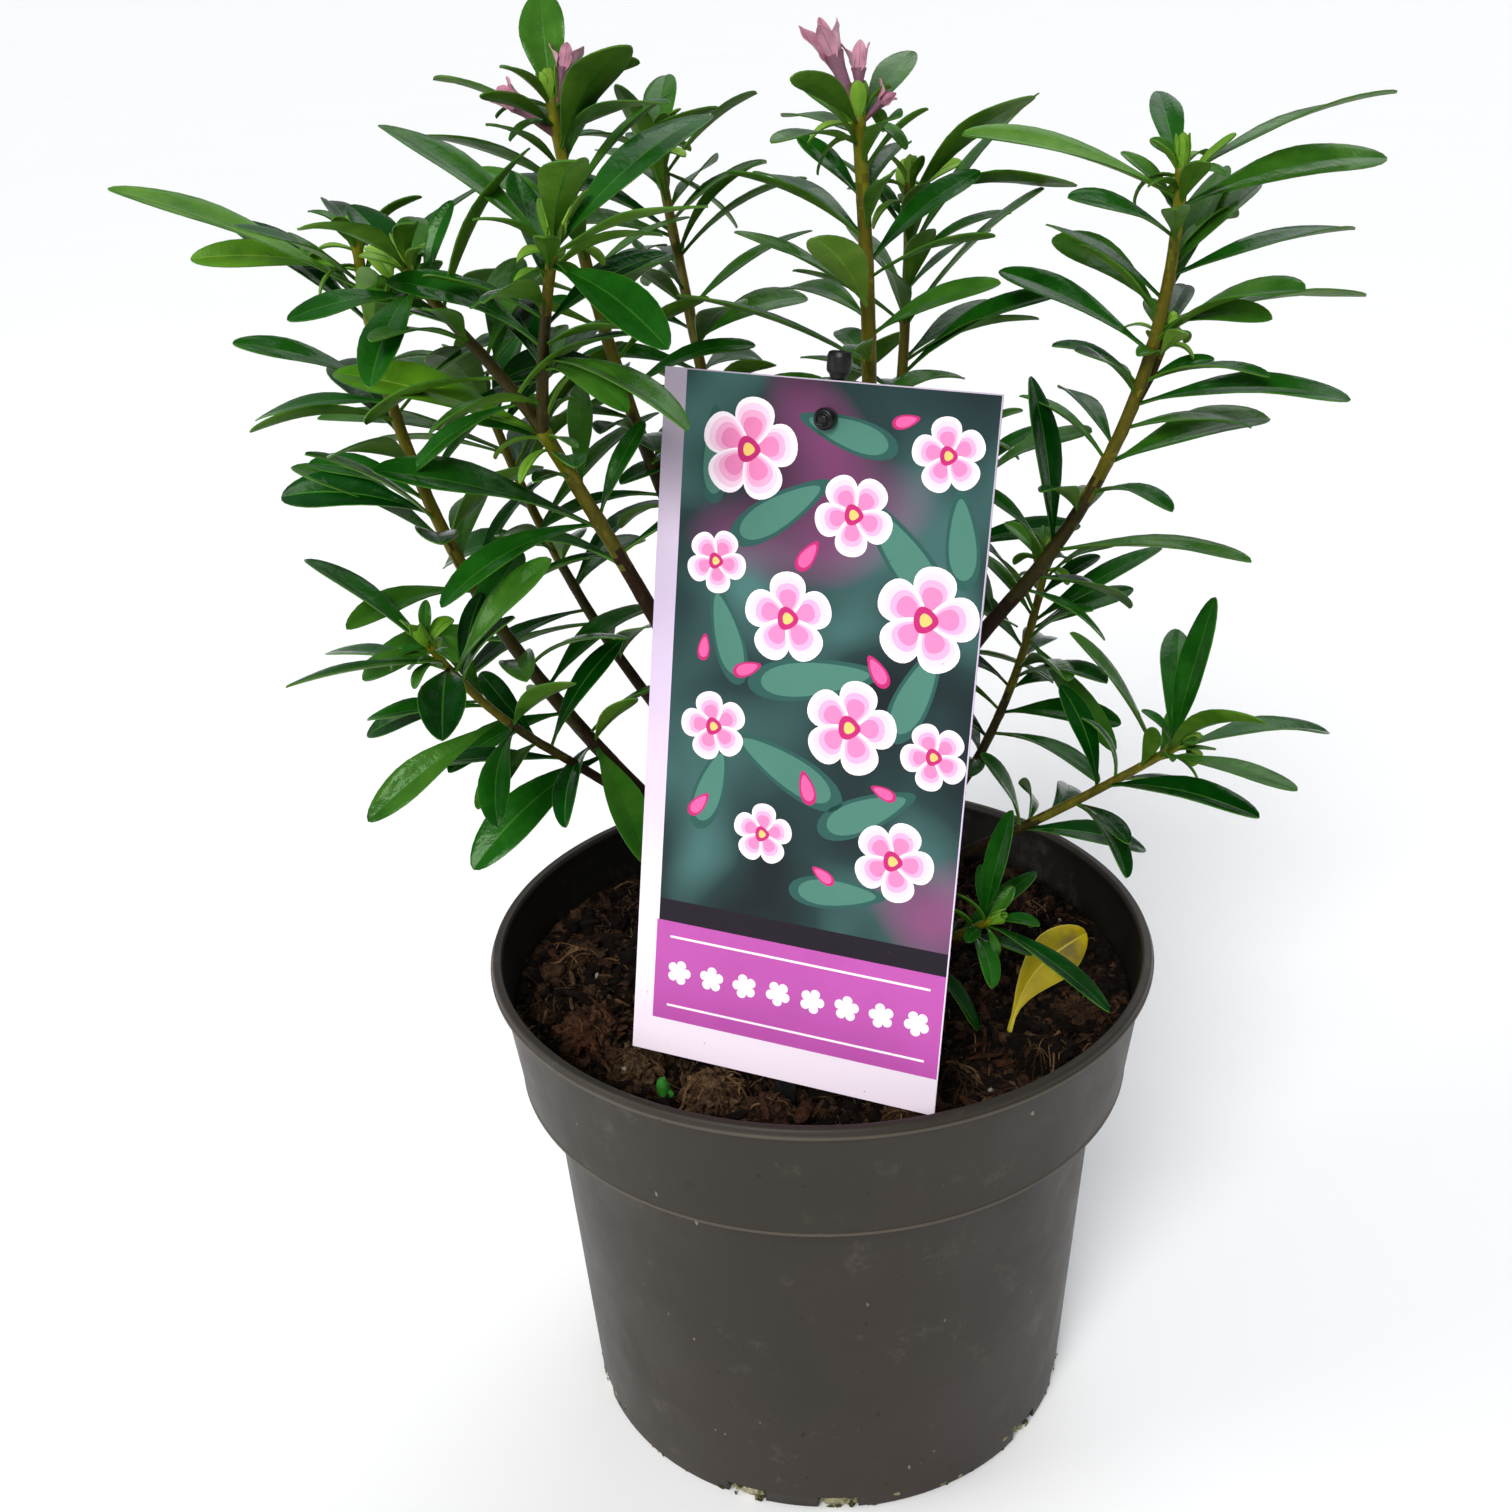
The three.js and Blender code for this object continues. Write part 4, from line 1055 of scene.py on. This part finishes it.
def make_moss():
    """Pale crusts of moss and lime in the notches and along the foot."""
    draw = random.Random(23)
    heap = Heap()

    def dab(r, turn, z, size, spin, *form):
        add_chunk(heap, Vector(polar(r, turn, z)), size, (0, 0, turn + spin), draw, *form)

    for i in range(NOTCH["pairs"]):
        for side in (-1, 1):
            middle = NOTCH["first"] + side * NOTCH["apart"] + i * 360 / NOTCH["pairs"]
            turn = rad(middle + draw.uniform(-0.8, 0.8))
            dab(POT["base"] - 1.7, turn, 2.4, (4.6, 1.0, 2.0), math.pi / 2, 2, 24, 20, 0.12, 0.1)
            for _ in range(34):
                turn = rad(middle + draw.uniform(-4.0, 4.0))
                r = POT["base"] - draw.uniform(1.0, 6.5)
                z = draw.uniform(1.2, NOTCH["height"] - 0.8)
                size = uniforms(draw, (0.7, 1.5), (0.7, 1.5), (0.5, 1.2))
                dab(r, turn, z, size, draw.uniform(-0.5, 0.5), draw.choice((0, 0, 1)), 5, 7, 0.35)
    for _ in range(90):
        turn, z = draw.uniform(0, 2 * math.pi), 0.9 + 9 * draw.random() ** 2.5
        r = POT["base"] + (POT["wall_top"] - POT["base"]) * z / COLLAR_FOOT - 0.05
        size = (0.16, *uniforms(draw, (0.3, 1.1), (0.3, 0.7)))
        dab(r, turn, z, size, 0, draw.choice((0, 1, 1)), 5, 7, 0.35)
    heap.piece("moss", [loose_paint("moss_pale", (96, 94, 60), (186, 182, 138)),
                        loose_paint("moss_dark", (38, 38, 22), (98, 94, 62)),
                        loose_paint("lime_crust", (112, 108, 80), (206, 200, 166))], "pot_plastic")


# ---- compost
CRUMBS = ((10, 2.4), (4.4, 1.5))             # width and height of the compost's lumps and crumbs
BED_SIDES = 520
ANY_WAY = (0, 6.3)                           # a full turn, to draw an angle from
noise.seed_set(SEED)                         # noise_vector would otherwise follow the clock


def crumb(x, y, size):
    """How high, 0 to 1, the ground stands on a crumb about this wide, and where that crumb is."""
    drift = noise.noise_vector((x * 1.3 / size, y * 1.3 / size, size)) * 0.4
    near, middles = noise.voronoi(Vector((x / size, y / size, size)) + drift)
    return min(1, 1.5 * (near[1] - near[0])) ** 0.5, middles[0]


def soil_lumps(x, y):
    """The lumps that the solid's surface has too."""
    waves = (0.23 * x + 0.11 * y, 0.29 * y - 0.13 * x + 1.7, 0.41 * x + 0.37 * y)
    return SOIL_LUMP * sum(math.sin(wave) for wave in waves) / 3


def bed_height(x, y):
    r = math.hypot(x, y)
    inside = min(1, (SOIL_RADIUS - r) / 14, max(0, r - 10) / 12)
    rough = 2.4 * noise.noise((x * 0.09, y * 0.09, 3)) + 1.1 * noise.noise((x * 0.27, y * 0.27, 9))
    for size, tall in CRUMBS:
        rough += tall * (crumb(x, y, size)[0] - 0.5)
    fine = 0.5 * noise.noise((x * 0.8, y * 0.8, 5))
    return SOIL_LEVEL - GAP + soil_lumps(x, y) * max(inside, 0) + rough * max(inside, 0.2) + fine


def ground(x, y):
    """The height of the compost with its lumps."""
    high = bed_height(x, y)
    for middle_x, middle_y, size, _ in LUMPS:
        apart = math.hypot(x - middle_x, y - middle_y) / size
        if apart < 0.9:
            foot = bed_height(middle_x, middle_y) + 0.2 * size
            high = max(high, foot + 0.6 * size * (1 - apart ** 2) ** 0.5)
    return high


def make_bed():
    radii = [0.01, 4, 8, *range(11, 88), 88.2, 89]
    top = [[(x, y, bed_height(x, y)) for x, y, _ in ring]
           for ring in lathe([(r, 0) for r in radii], BED_SIDES)]
    room = POT["wall"] + 0.5
    side = [(88.9, 128), (POT["collar_foot"] - room, COLLAR_FOOT + 3.2),
            (POT["wall_top"] - room, COLLAR_FOOT + 2), (POT["base"] - room, POT["floor"] + GAP),
            (0.01, POT["floor"] + GAP)]
    rings = [*reversed(lathe(side, BED_SIDES)), *reversed(top)]

    def tone(i, j):
        x, y, _ = rings[i][j]
        high, middle = crumb(x, y, CRUMBS[1][0])
        # Faces low in the hollows between crumbs, and the bed's sides, take the darkest compost:
        # painted shade in the hollows.
        if i < len(side) or high < 0.35:
            return 0
        return (0, 1, 1, 2)[int(37 * abs(middle.x) + 91 * abs(middle.y)) % 4]

    heap = Heap()
    heap.skin(rings, tone)
    heap.piece("compost_bed", [bed_paint("compost_dark", (5, 3, 2), (16, 11, 8), (38, 26, 17)),
                               bed_paint("compost_brown", (10, 7, 4), (36, 24, 16), (70, 49, 33)),
                               bed_paint("compost_pale", (16, 10, 6), (52, 36, 24), (96, 70, 48))],
               "compost", ["soil"], 60)


def off_limits(x, y, room=0.0):
    """True over the trunk's foot and under the fallen leaf."""
    axis = Vector(polar(1, rad(FALLEN["turn"]))[:2])
    beside = Vector((x, y)) - Vector(FALLEN["foot"])
    run = beside.dot(axis)
    near_leaf = -3 < run < FALLEN["length"] and (beside - axis * run).length < 6 + room
    return near_leaf or math.hypot(x, y) < 9 + room


def scatter(count, draw, room):
    """Seeded places on the compost, even over its area."""
    while count:
        r = (SOIL_RADIUS - 1.5 - room) * math.sqrt(draw.random())
        x, y, _ = polar(r, draw.uniform(0, 2 * math.pi))
        if not off_limits(x, y, room):
            count -= 1
            yield x, y


def add_fibre(heap, x, y, draw, steps=8):
    """A bent fibre that follows the compost from this place on."""
    length, turn, bend = uniforms(draw, (4, 20), ANY_WAY, (-1.4, 1.4))
    radius = mostly(draw, 0.88, (0.1, 0.24), (0.3, 0.6))
    rings, spot = [], Vector((x, y, 0))
    for i in range(steps):
        turn += bend / steps
        spot = spot + Vector(polar(1, turn)) * (length / steps)
        if spot.length > SOIL_RADIUS - 1.5 or off_limits(spot.x, spot.y):
            break
        beside = Vector((-math.sin(turn), math.cos(turn), 0))
        over = 0.4 + radius + 0.5 * math.sin(i + x)
        centre = Vector((spot.x, spot.y, ground(spot.x, spot.y) + over))
        rings.append([centre + beside * (radius * math.cos(a)) + UP * (radius * math.sin(a))
                      for a in (0.5, 2.6, 4.7)])
    if len(rings) > 2:
        heap.skin(rings, draw.choice((0, 0, 0, 1)))


def make_loose():
    """Bark chips, clods, crumbs and fibres that lie on the compost."""
    draw = random.Random(7)
    chips, clods, crumbs, fibres = Heap(), Heap(), Heap(), Heap()

    def strew(heap, length, shares, spins, x, y, raised, slots, *form):
        """A chunk on the bed. shares: its breadth and height against length."""
        size = [length, *(length * share for share in uniforms(draw, *shares))]
        spin = uniforms(draw, *spins)
        place = Vector((x, y, bed_height(x, y) + raised(size)))
        add_chunk(heap, place, size, spin, draw, draw.choice(slots), *form)

    for x, y in scatter(330, draw, 2.5):
        strew(chips, mostly(draw, 0.7, (1.6, 4.2), (4, 7)), ((0.16, 0.34), (0.12, 0.22)),
              ((-0.9, 0.9), (-0.45, 0.45), ANY_WAY), x, y, lambda size: 0.4 + size[2],
              (0, 0, 0, 1, 1, 2), 7, 7, 0.16)
    for x, y, size, slot in LUMPS:
        place = Vector((x, y, bed_height(x, y) + 0.2 * size))
        add_chunk(clods, place, (size, size * draw.uniform(0.75, 0.95), 0.62 * size),
                  (0, 0, draw.uniform(*ANY_WAY)), draw, slot, 34, 44, 0.17, 0.22)
    for x, y in scatter(240, draw, 3):
        strew(clods, draw.uniform(1.5, 3.4), ((0.6, 0.95), (0.6, 0.95)), (ANY_WAY,) * 3, x, y,
              lambda size: size[0] * 0.3, (0, 0, 1), 10, 12, 0.22, 0.16)
    for x, y in scatter(2600, draw, 0.5):
        strew(crumbs, mostly(draw, 0.86, (0.5, 1.5), (1.5, 3.2)), ((0.7, 1), (0.6, 0.95)),
              (ANY_WAY,) * 3, x, y, lambda size: size[0] * 0.25, (0, 0, 0, 1), 5, 6, 0.45)
    for x, y in scatter(760, draw, 4):
        add_fibre(fibres, x, y, draw)
    for x, y, size, _ in LUMPS:
        for _ in range(36):
            turn, out = draw.uniform(*ANY_WAY), size * draw.uniform(0, 1.1)
            add_fibre(fibres, x + out * math.cos(turn), y + out * math.sin(turn), draw)
    for x, y in scatter(110, draw, 8):
        size = uniforms(draw, (2.5, 8), (0.5, 1.1), (0.35, 0.7))
        spin = uniforms(draw, (-0.6, 0.6), (-0.2, 0.2), ANY_WAY)
        place = Vector((x, y, ground(x, y) + 0.9 + size[2]))
        add_chunk(chips, place, size, spin, draw, draw.choice((1, 1, 1, 2)), 9, 8, 0.2, 0.06)
    for x, y in scatter(26, draw, 3):
        size = uniforms(draw, *((0.4, 1.0),) * 3)
        place = Vector((x, y, ground(x, y) + 0.6))
        add_chunk(chips, place, size, (x, y, 0), draw, 3, 6, 7, 0.3)
    chips.piece("compost_chips", [loose_paint("chip_dark", (9, 6, 4), (36, 25, 17)),
                                  loose_paint("chip_red", (28, 15, 9), (84, 52, 33)),
                                  loose_paint("chip_pale", (54, 38, 25), (116, 88, 62)),
                                  loose_paint("grain_white", (120, 112, 98), (206, 200, 186))],
                "compost")
    earth = [loose_paint("clod_dark", (5, 3, 2), (30, 20, 14)),
             loose_paint("clod_brown", (14, 9, 6), (88, 62, 42)),
             loose_paint("clod_tan", (30, 21, 13), (122, 96, 66)),
             loose_paint("clod_red", (34, 20, 12), (104, 68, 46))]
    clods.piece("compost_clods", earth, "compost")
    crumbs.piece("compost_crumbs", earth[:2], "compost")
    fibres.piece("compost_fibres", [loose_paint("fibre_brown", (34, 22, 14), (74, 50, 32)),
                                    loose_paint("fibre_pale", (84, 62, 40), (134, 104, 70))],
                 "compost")


def make_seedling():
    """The small green shoot that stands in the compost before the card."""
    heap = Heap()
    x, y = SEEDLING
    line = Course((x, y, bed_height(x, y) - 0.6), (200, 200, 200), (80, 86, 90), 3.4)
    add_stem(heap, line, 0, 1, lambda u: 0.9 + 0.4 * u, lambda u: 3, sides=10, spacing=0.7,
             relief=0.05, tip=0.6)
    draw = random.Random(5)
    for azimuth, lean, rise, size in ((160, 7, 2.6, (3.4, 1.9, 1.7)),
                                      (345, 24, 0.2, (2.3, 1.2, 1.4))):
        middle = line.spot(1) + UP * rise + heading(azimuth, 0) * (0.3 * lean / 7)
        add_chunk(heap, middle, size, (0, rad(lean - 90), rad(azimuth)), draw, 0, 14, 16, 0.1)
    greens = [leaf_paint("seedling_green", (20, 84, 18), (52, 128, 44), 0.45)] * 4
    heap.piece("seedling", greens, "foliage")


# ---- card, pin and stake
card_space = (Matrix.Translation(CARD["foot"]) @ Matrix.Rotation(rad(CARD["yaw"]), 4, "Z")
              @ Matrix.Rotation(rad(CARD["tilt"]), 4, "X")
              @ Matrix.Rotation(rad(CARD["roll"]), 4, "Y"))
LAYER = 0.03                                # thickness of one printed layer
STRIPE, BORDER, BAND_TOP, STRIP_TOP = -36.5, 10.0, 37.7, 43.7
BLOSSOMS = [(-19, 162, 12.5, 0.2), (9, 149, 10, 0.9), (31, 165, 9, 0.5), (29, 126, 13, 1.4),
            (-6, 122, 11.5, 0.4), (-26, 134, 8, 1.1), (12, 97, 12, 0.1), (34, 93, 8.5, 0.8),
            (-24, 92, 9, 0.6), (26, 65, 10.5, 1.2), (-9, 66, 8, 0.3)]
BUDS_ON_CARD = [(-2, 138, 9, 1.0), (18, 112, 9, 2.2), (-16, 108, 8, 0.4), (2, 80, 9, 1.9),
                (22, 82, 7, 2.8), (-28, 112, 7, 1.5), (-27, 71, 8, 0.9), (8, 58, 7, 2.6),
                (20, 172, 7, 0.3)]
FRONDS = [(-10, 148, 30, 9, 0.6), (22, 141, 34, 10, 2.3), (2, 108, 36, 10, 0.2),
          (-22, 116, 26, 8, 1.9), (28, 108, 28, 9, 1.2), (-4, 84, 34, 10, 2.7),
          (18, 76, 28, 9, 0.5), (-24, 76, 24, 8, 1.3), (36, 146, 24, 8, 1.7),
          (-28, 160, 24, 7, 1.6), (6, 168, 26, 8, 2.9), (12, 54, 26, 8, 0.1)]


def on_card(x, z, y=0.0):
    """A point in the card's own frame: x across it, z up it and -y in front of it."""
    return card_space @ Vector((x, y, z))


def box_outline(x0, x1, z0, z1):
    return [(x0, z0), (x1, z0), (x1, z1), (x0, z1)]


def rosette(x, z, radius, turn, share):
    """The outline of an open flower with five round petals."""
    out = []
    for a in circle(60):
        lobe = abs(math.cos(5 * a / 2)) ** 0.55
        r = radius * share * (1 - 0.42 * (1 - lobe) * share ** 0.5)
        out.append((x + r * math.cos(a + turn), z + r * math.sin(a + turn)))
    return out


def oval(x, z, length, width, turn, share=1.0):
    """An egg-shaped outline, a little narrower at its far end."""
    out = []
    for a in circle(28):
        u = math.cos(a) * length / 2 * share
        v = math.sin(a) * width / 2 * share * (1 - 0.35 * math.cos(a))
        out.append((x + u * math.cos(turn) - v * math.sin(turn),
                    z + u * math.sin(turn) + v * math.cos(turn)))
    return out


def add_print(heap, outlines, layers, slots):
    """A printed form: its outlines from the outside in, this many layers in front of the card."""
    face, level = -CARD["thickness"], layers * LAYER
    rings = [[on_card(x, z, face) for x, z in outlines[0]]]
    rings += [[on_card(x, z, face - level) for x, z in outline] for outline in outlines]
    heap.skin(rings, lambda i, j: slots[max(i - 1, 0)])


def add_blossom(heap, x, z, radius, turn):
    """Five broad petals, pale at the edge and rosier towards a small gold heart."""
    for i in range(5):
        a = turn + 2 * math.pi * i / 5
        shapes = []
        for share in (1, 0.84, 0.66, 0.48, 0.3):
            out = radius * (0.28 + 0.24 * share)
            shapes.append(oval(x + out * math.cos(a), z + out * math.sin(a), radius * 0.98,
                               radius * 0.78, a + math.pi, share))
        add_print(heap, shapes, 4 + 0.3 * i, [6, 10, 5, 11, 4])
    for share, slot, layers in ((0.24, 3, 5.6), (0.12, 9, 5.9)):
        add_print(heap, [oval(x, z, 2 * radius * share, 2 * radius * share, 0)], layers, [slot])


def dirty_print(paint, colour):
    """Finishes printed card: a few specks of dirt, and the stock's fine relief."""
    paint.colour(paint.spots(colour, tint(70, 55, 50), (620, 2, 0.5), 0.75, 0.78, 0.7))
    paint.bump(paint.noise(700, 2, 0.5), 0.00003, 0.4)
    return paint.material


def print_paint(name, *rgb):
    """Smooth card stock with faint mottling."""
    paint = Paint("print_" + name, 0.35, 0.25)
    colour = tint(*rgb)
    return dirty_print(paint, paint.ramp(paint.noise(60, 3, 0.5), (0.3, shade(colour, 0.95)),
                                         (0.7, shade(colour, 1.03))))


def border_paint():
    """Bare card stock, nearly white at the foot and a darker, greyer lilac towards the top: painted
    shade from the leaves above.
    """
    paint = Paint("print_lilac_painted_shade", 0.4, 0.15)
    height = paint.node("ShaderNodeSeparateXYZ", Vector=paint.place()).outputs["Z"]
    return dirty_print(paint, paint.ramp(
        paint.map_range(height, 0.14, 0.32, 0, 1), (0.05, tint(253, 238, 253)),
        (0.45, tint(218, 199, 230)), (0.9, tint(184, 171, 190))))


def scene_paint():
    """The dim garden behind the printed flowers: soft blots of teal, slate and rose."""
    paint = Paint("print_shade", 0.35, 0.25)
    green = paint.ramp(paint.noise(26, 1.5, 0.4, 0.4), (0.36, tint(14, 26, 30)),
                       (0.5, tint(28, 52, 53)), (0.68, tint(66, 108, 104)))
    paint.colour(paint.spots(green, tint(150, 70, 128), (17, 1, 0.4), 0.62, 0.74, 0.7))
    paint.bump(paint.noise(700, 2, 0.5), 0.00003, 0.4)
    return paint.material


def make_card():
    half, height, thick = CARD["width"] / 2, CARD["height"], CARD["thickness"]
    plate = Heap()
    outline = box_outline(-half, half, 0, height)
    eased = [((1 - 0.004) * x, height / 2 + (1 - 0.002) * (z - height / 2)) for x, z in outline]
    depths = [(eased, 0), (outline, -0.1), (outline, -thick + 0.1), (eased, -thick)]
    plate.skin([[on_card(x, z, y) for x, z in line] for line, y in depths])
    card = plate.piece("card_plate", [border_paint()], "card_print", ["card"])
    hole = Heap()
    hole.skin([[on_card(PIN["x"] + x, PIN["z"] + z, y) for x, z, _ in
                (polar(PIN["hole"], a) for a in circle(24))] for y in (2, -2)])
    cut_away(card, hole)
    design = Heap()
    for slot, (left, low, high) in enumerate(((STRIPE, STRIP_TOP, height - 0.3),
                                              (STRIPE, BAND_TOP, STRIP_TOP),
                                              (STRIPE - 0.5, BORDER, BAND_TOP))):
        add_print(design, [box_outline(left, half - 0.3, low, high)], 1, [slot])
    for x, z, length, width, turn in FRONDS:
        shapes = [oval(x, z, length, width, turn, share) for share in (1, 0.8, 0.3)]
        add_print(design, shapes, 2, [7, 8, 8])
    for x, z, length, turn in BUDS_ON_CARD:
        shapes = [oval(x, z, length, length * 0.45, turn, share) for share in (1, 0.75, 0.45)]
        add_print(design, shapes, 3, [3, 4, 5])
    for blossom in BLOSSOMS:
        add_blossom(design, *blossom)
    for i in range(8):
        x, z = -30 + 9.4 * i, (BORDER + BAND_TOP) / 2
        add_print(design, [rosette(x, z, 3.4, 0.3 * i, share) for share in (1, 0.3)], 2, [6, 4])
    for z in (BORDER + 4.2, BAND_TOP - 4.2):
        add_print(design, [box_outline(-33, half - 4, z - 0.3, z + 0.3)], 2, [6])
    inks = [print_paint(*row) for row in (
        ("night", 24, 14, 28), ("orchid", 184, 82, 168), ("magenta", 188, 36, 110),
        ("rose", 224, 92, 156), ("pink", 240, 168, 206), ("white", 252, 238, 248),
        ("teal", 40, 84, 78), ("sea", 72, 122, 108), ("gold", 236, 196, 110),
        ("blush", 248, 206, 230), ("coral", 232, 130, 182))]
    design.piece("card_design", [scene_paint(), *inks], "card_print")


def make_pin_and_stake():
    seat, head, tall = CARD["thickness"] + GAP, PIN["head"], PIN["length"]
    profile = [(0.01, 0), (PIN["shank"], 0), (PIN["shank"], seat), (head, seat),
               (head, tall - 1.3), (head - 0.45, tall - 0.5), (head - 0.95, tall - 0.35),
               (head - 1.15, tall - 0.75), (head - 1.5, tall - 0.75), (head - 1.75, tall - 0.1),
               (0.01, tall)]
    pin = Heap()
    pin.skin([[on_card(PIN["x"] + x, PIN["z"] + y, -z) for x, y, z in ring]
              for ring in lathe(rounded(profile, 0.25), 40)])
    pin.piece("pin_head", [black_paint("pin_black", 0.3)], "black_plastic", ["card_pin"], 35)
    middle, back = STAKE["x"], GAP + STAKE["thickness"]
    half, top, foot = STAKE["width"] / 2, CARD["height"] + STAKE["above"], -STAKE["below"]
    stake = Heap()
    for x0, x1, y0, y1 in ((-half, half, GAP, GAP + 1), (-0.6, 0.6, GAP + 1, back)):
        square = ((x0, y0), (x1, y0), (x1, y1), (x0, y1))
        stake.skin([[on_card(middle + x * share, z, y) for x, y in square] for z, share in
                    ((foot, 0.06), (foot + STAKE["point"], 1), (0, 1), (top - 7.5, 1))])
    barrel = [(0.01, -7), (1.9, -7), (2.2, -5.8), (3.0, -4.9), (3.1, -1.6), (2.7, -0.4),
              (1.6, -0.1), (1.3, -0.5), (0.01, -0.5)]
    stake.skin([[on_card(middle + x, top + z, GAP + 1.5 + 0.85 * y) for x, y, z in ring]
                for ring in lathe(rounded(barrel, 0.3), 32)])
    stake.piece("stake_post", [black_paint("stake_black", 0.4)], "black_plastic",
                ["card_stake"], 35)


# ---- fallen leaf, floor, the whole
BOW = 5.5                                   # how far the fallen leaf's middle curves to its left
BRUISE = 0.82                               # how far along the fallen leaf its bruise is


def fallen_outline(s):
    """Broadest three quarters along, from a long slim foot."""
    return leaf_outline(s ** 1.25)


def make_fallen_leaf():
    x, y = FALLEN["foot"]
    level = SOIL_LEVEL - GAP + soil_lumps(x, y) + FALLEN["rest"]
    leaf = {**FALLEN, "foot": Vector((x, y, level)),
            "way": heading(FALLEN["turn"], FALLEN["rise"]), "light": UP}
    heap = Heap()
    add_blade(heap, leaf, (0, 1, 1, 0), 0.3, twist=-30, wave=0.08, outline=fallen_outline,
              fuller=1.15)
    left = heading(FALLEN["turn"] + 90, 0)
    for i, point in enumerate(heap.points):
        share = (Vector(point) - leaf["foot"]).dot(leaf["way"]) / leaf["length"]
        bow = left * (BOW * math.sin(math.pi * min(max(share, 0), 1)))
        heap.points[i] = tuple(Vector(point) + bow)
    paint = Paint("leaf_yellow", 0.45)
    tones = paint.ramp(paint.noise(42, 3, 0.55, 0.3), (0.4, tint(204, 180, 16)),
                       (0.58, tint(176, 160, 22)), (0.7, tint(118, 106, 40)))
    side, above = axes(leaf)
    bruise = centre_line(leaf, above, BRUISE)[0] + side * 1.5 + left * (
        BOW * math.sin(BRUISE * math.pi))
    away = paint.node("ShaderNodeVectorMath", {"operation": "DISTANCE"})
    paint.put(away.inputs[0], paint.place())
    paint.put(away.inputs[1], bruise * MM)
    ragged = paint.mix(0.35, away.outputs["Value"],
                       paint.map_range(paint.noise(330, 4, 0.6), 0, 1, 0, 0.012))
    near = paint.map_range(ragged, 0.0032, 0.0062, 0.8, 0)
    paint.colour(paint.mix(near, tones, tint(112, 100, 66)))
    paint.bump(paint.noise(300, 3, 0.6), 0.0004, 0.5)
    rib = leaf_paint("rib_yellow", (212, 196, 74), (228, 214, 96), 0.45)
    heap.piece("yellow_leaf", [paint.material, *[rib] * 5], "yellow_leaf", ["fallen_leaf"])


def make_floor():
    mesh = bpy.data.meshes.new("floor")
    far = 20
    mesh.from_pydata([(-far, -far, 0), (far, -far, 0), (far, far, 0), (-far, far, 0)], [],
                     [(0, 1, 2, 3)])
    paint = grained("floor_pale", (3, 2, 0.5), ((0.3, (248, 248, 249)), (0.7, (249, 249, 250))),
                    (), 0.9)
    mesh.materials.append(paint.material)
    link("floor", mesh)


for make in (make_camera, make_studio, make_floor, make_pot, make_moss, make_bed, make_loose,
             make_seedling, make_card, make_pin_and_stake, make_fallen_leaf, make_plant):
    make()
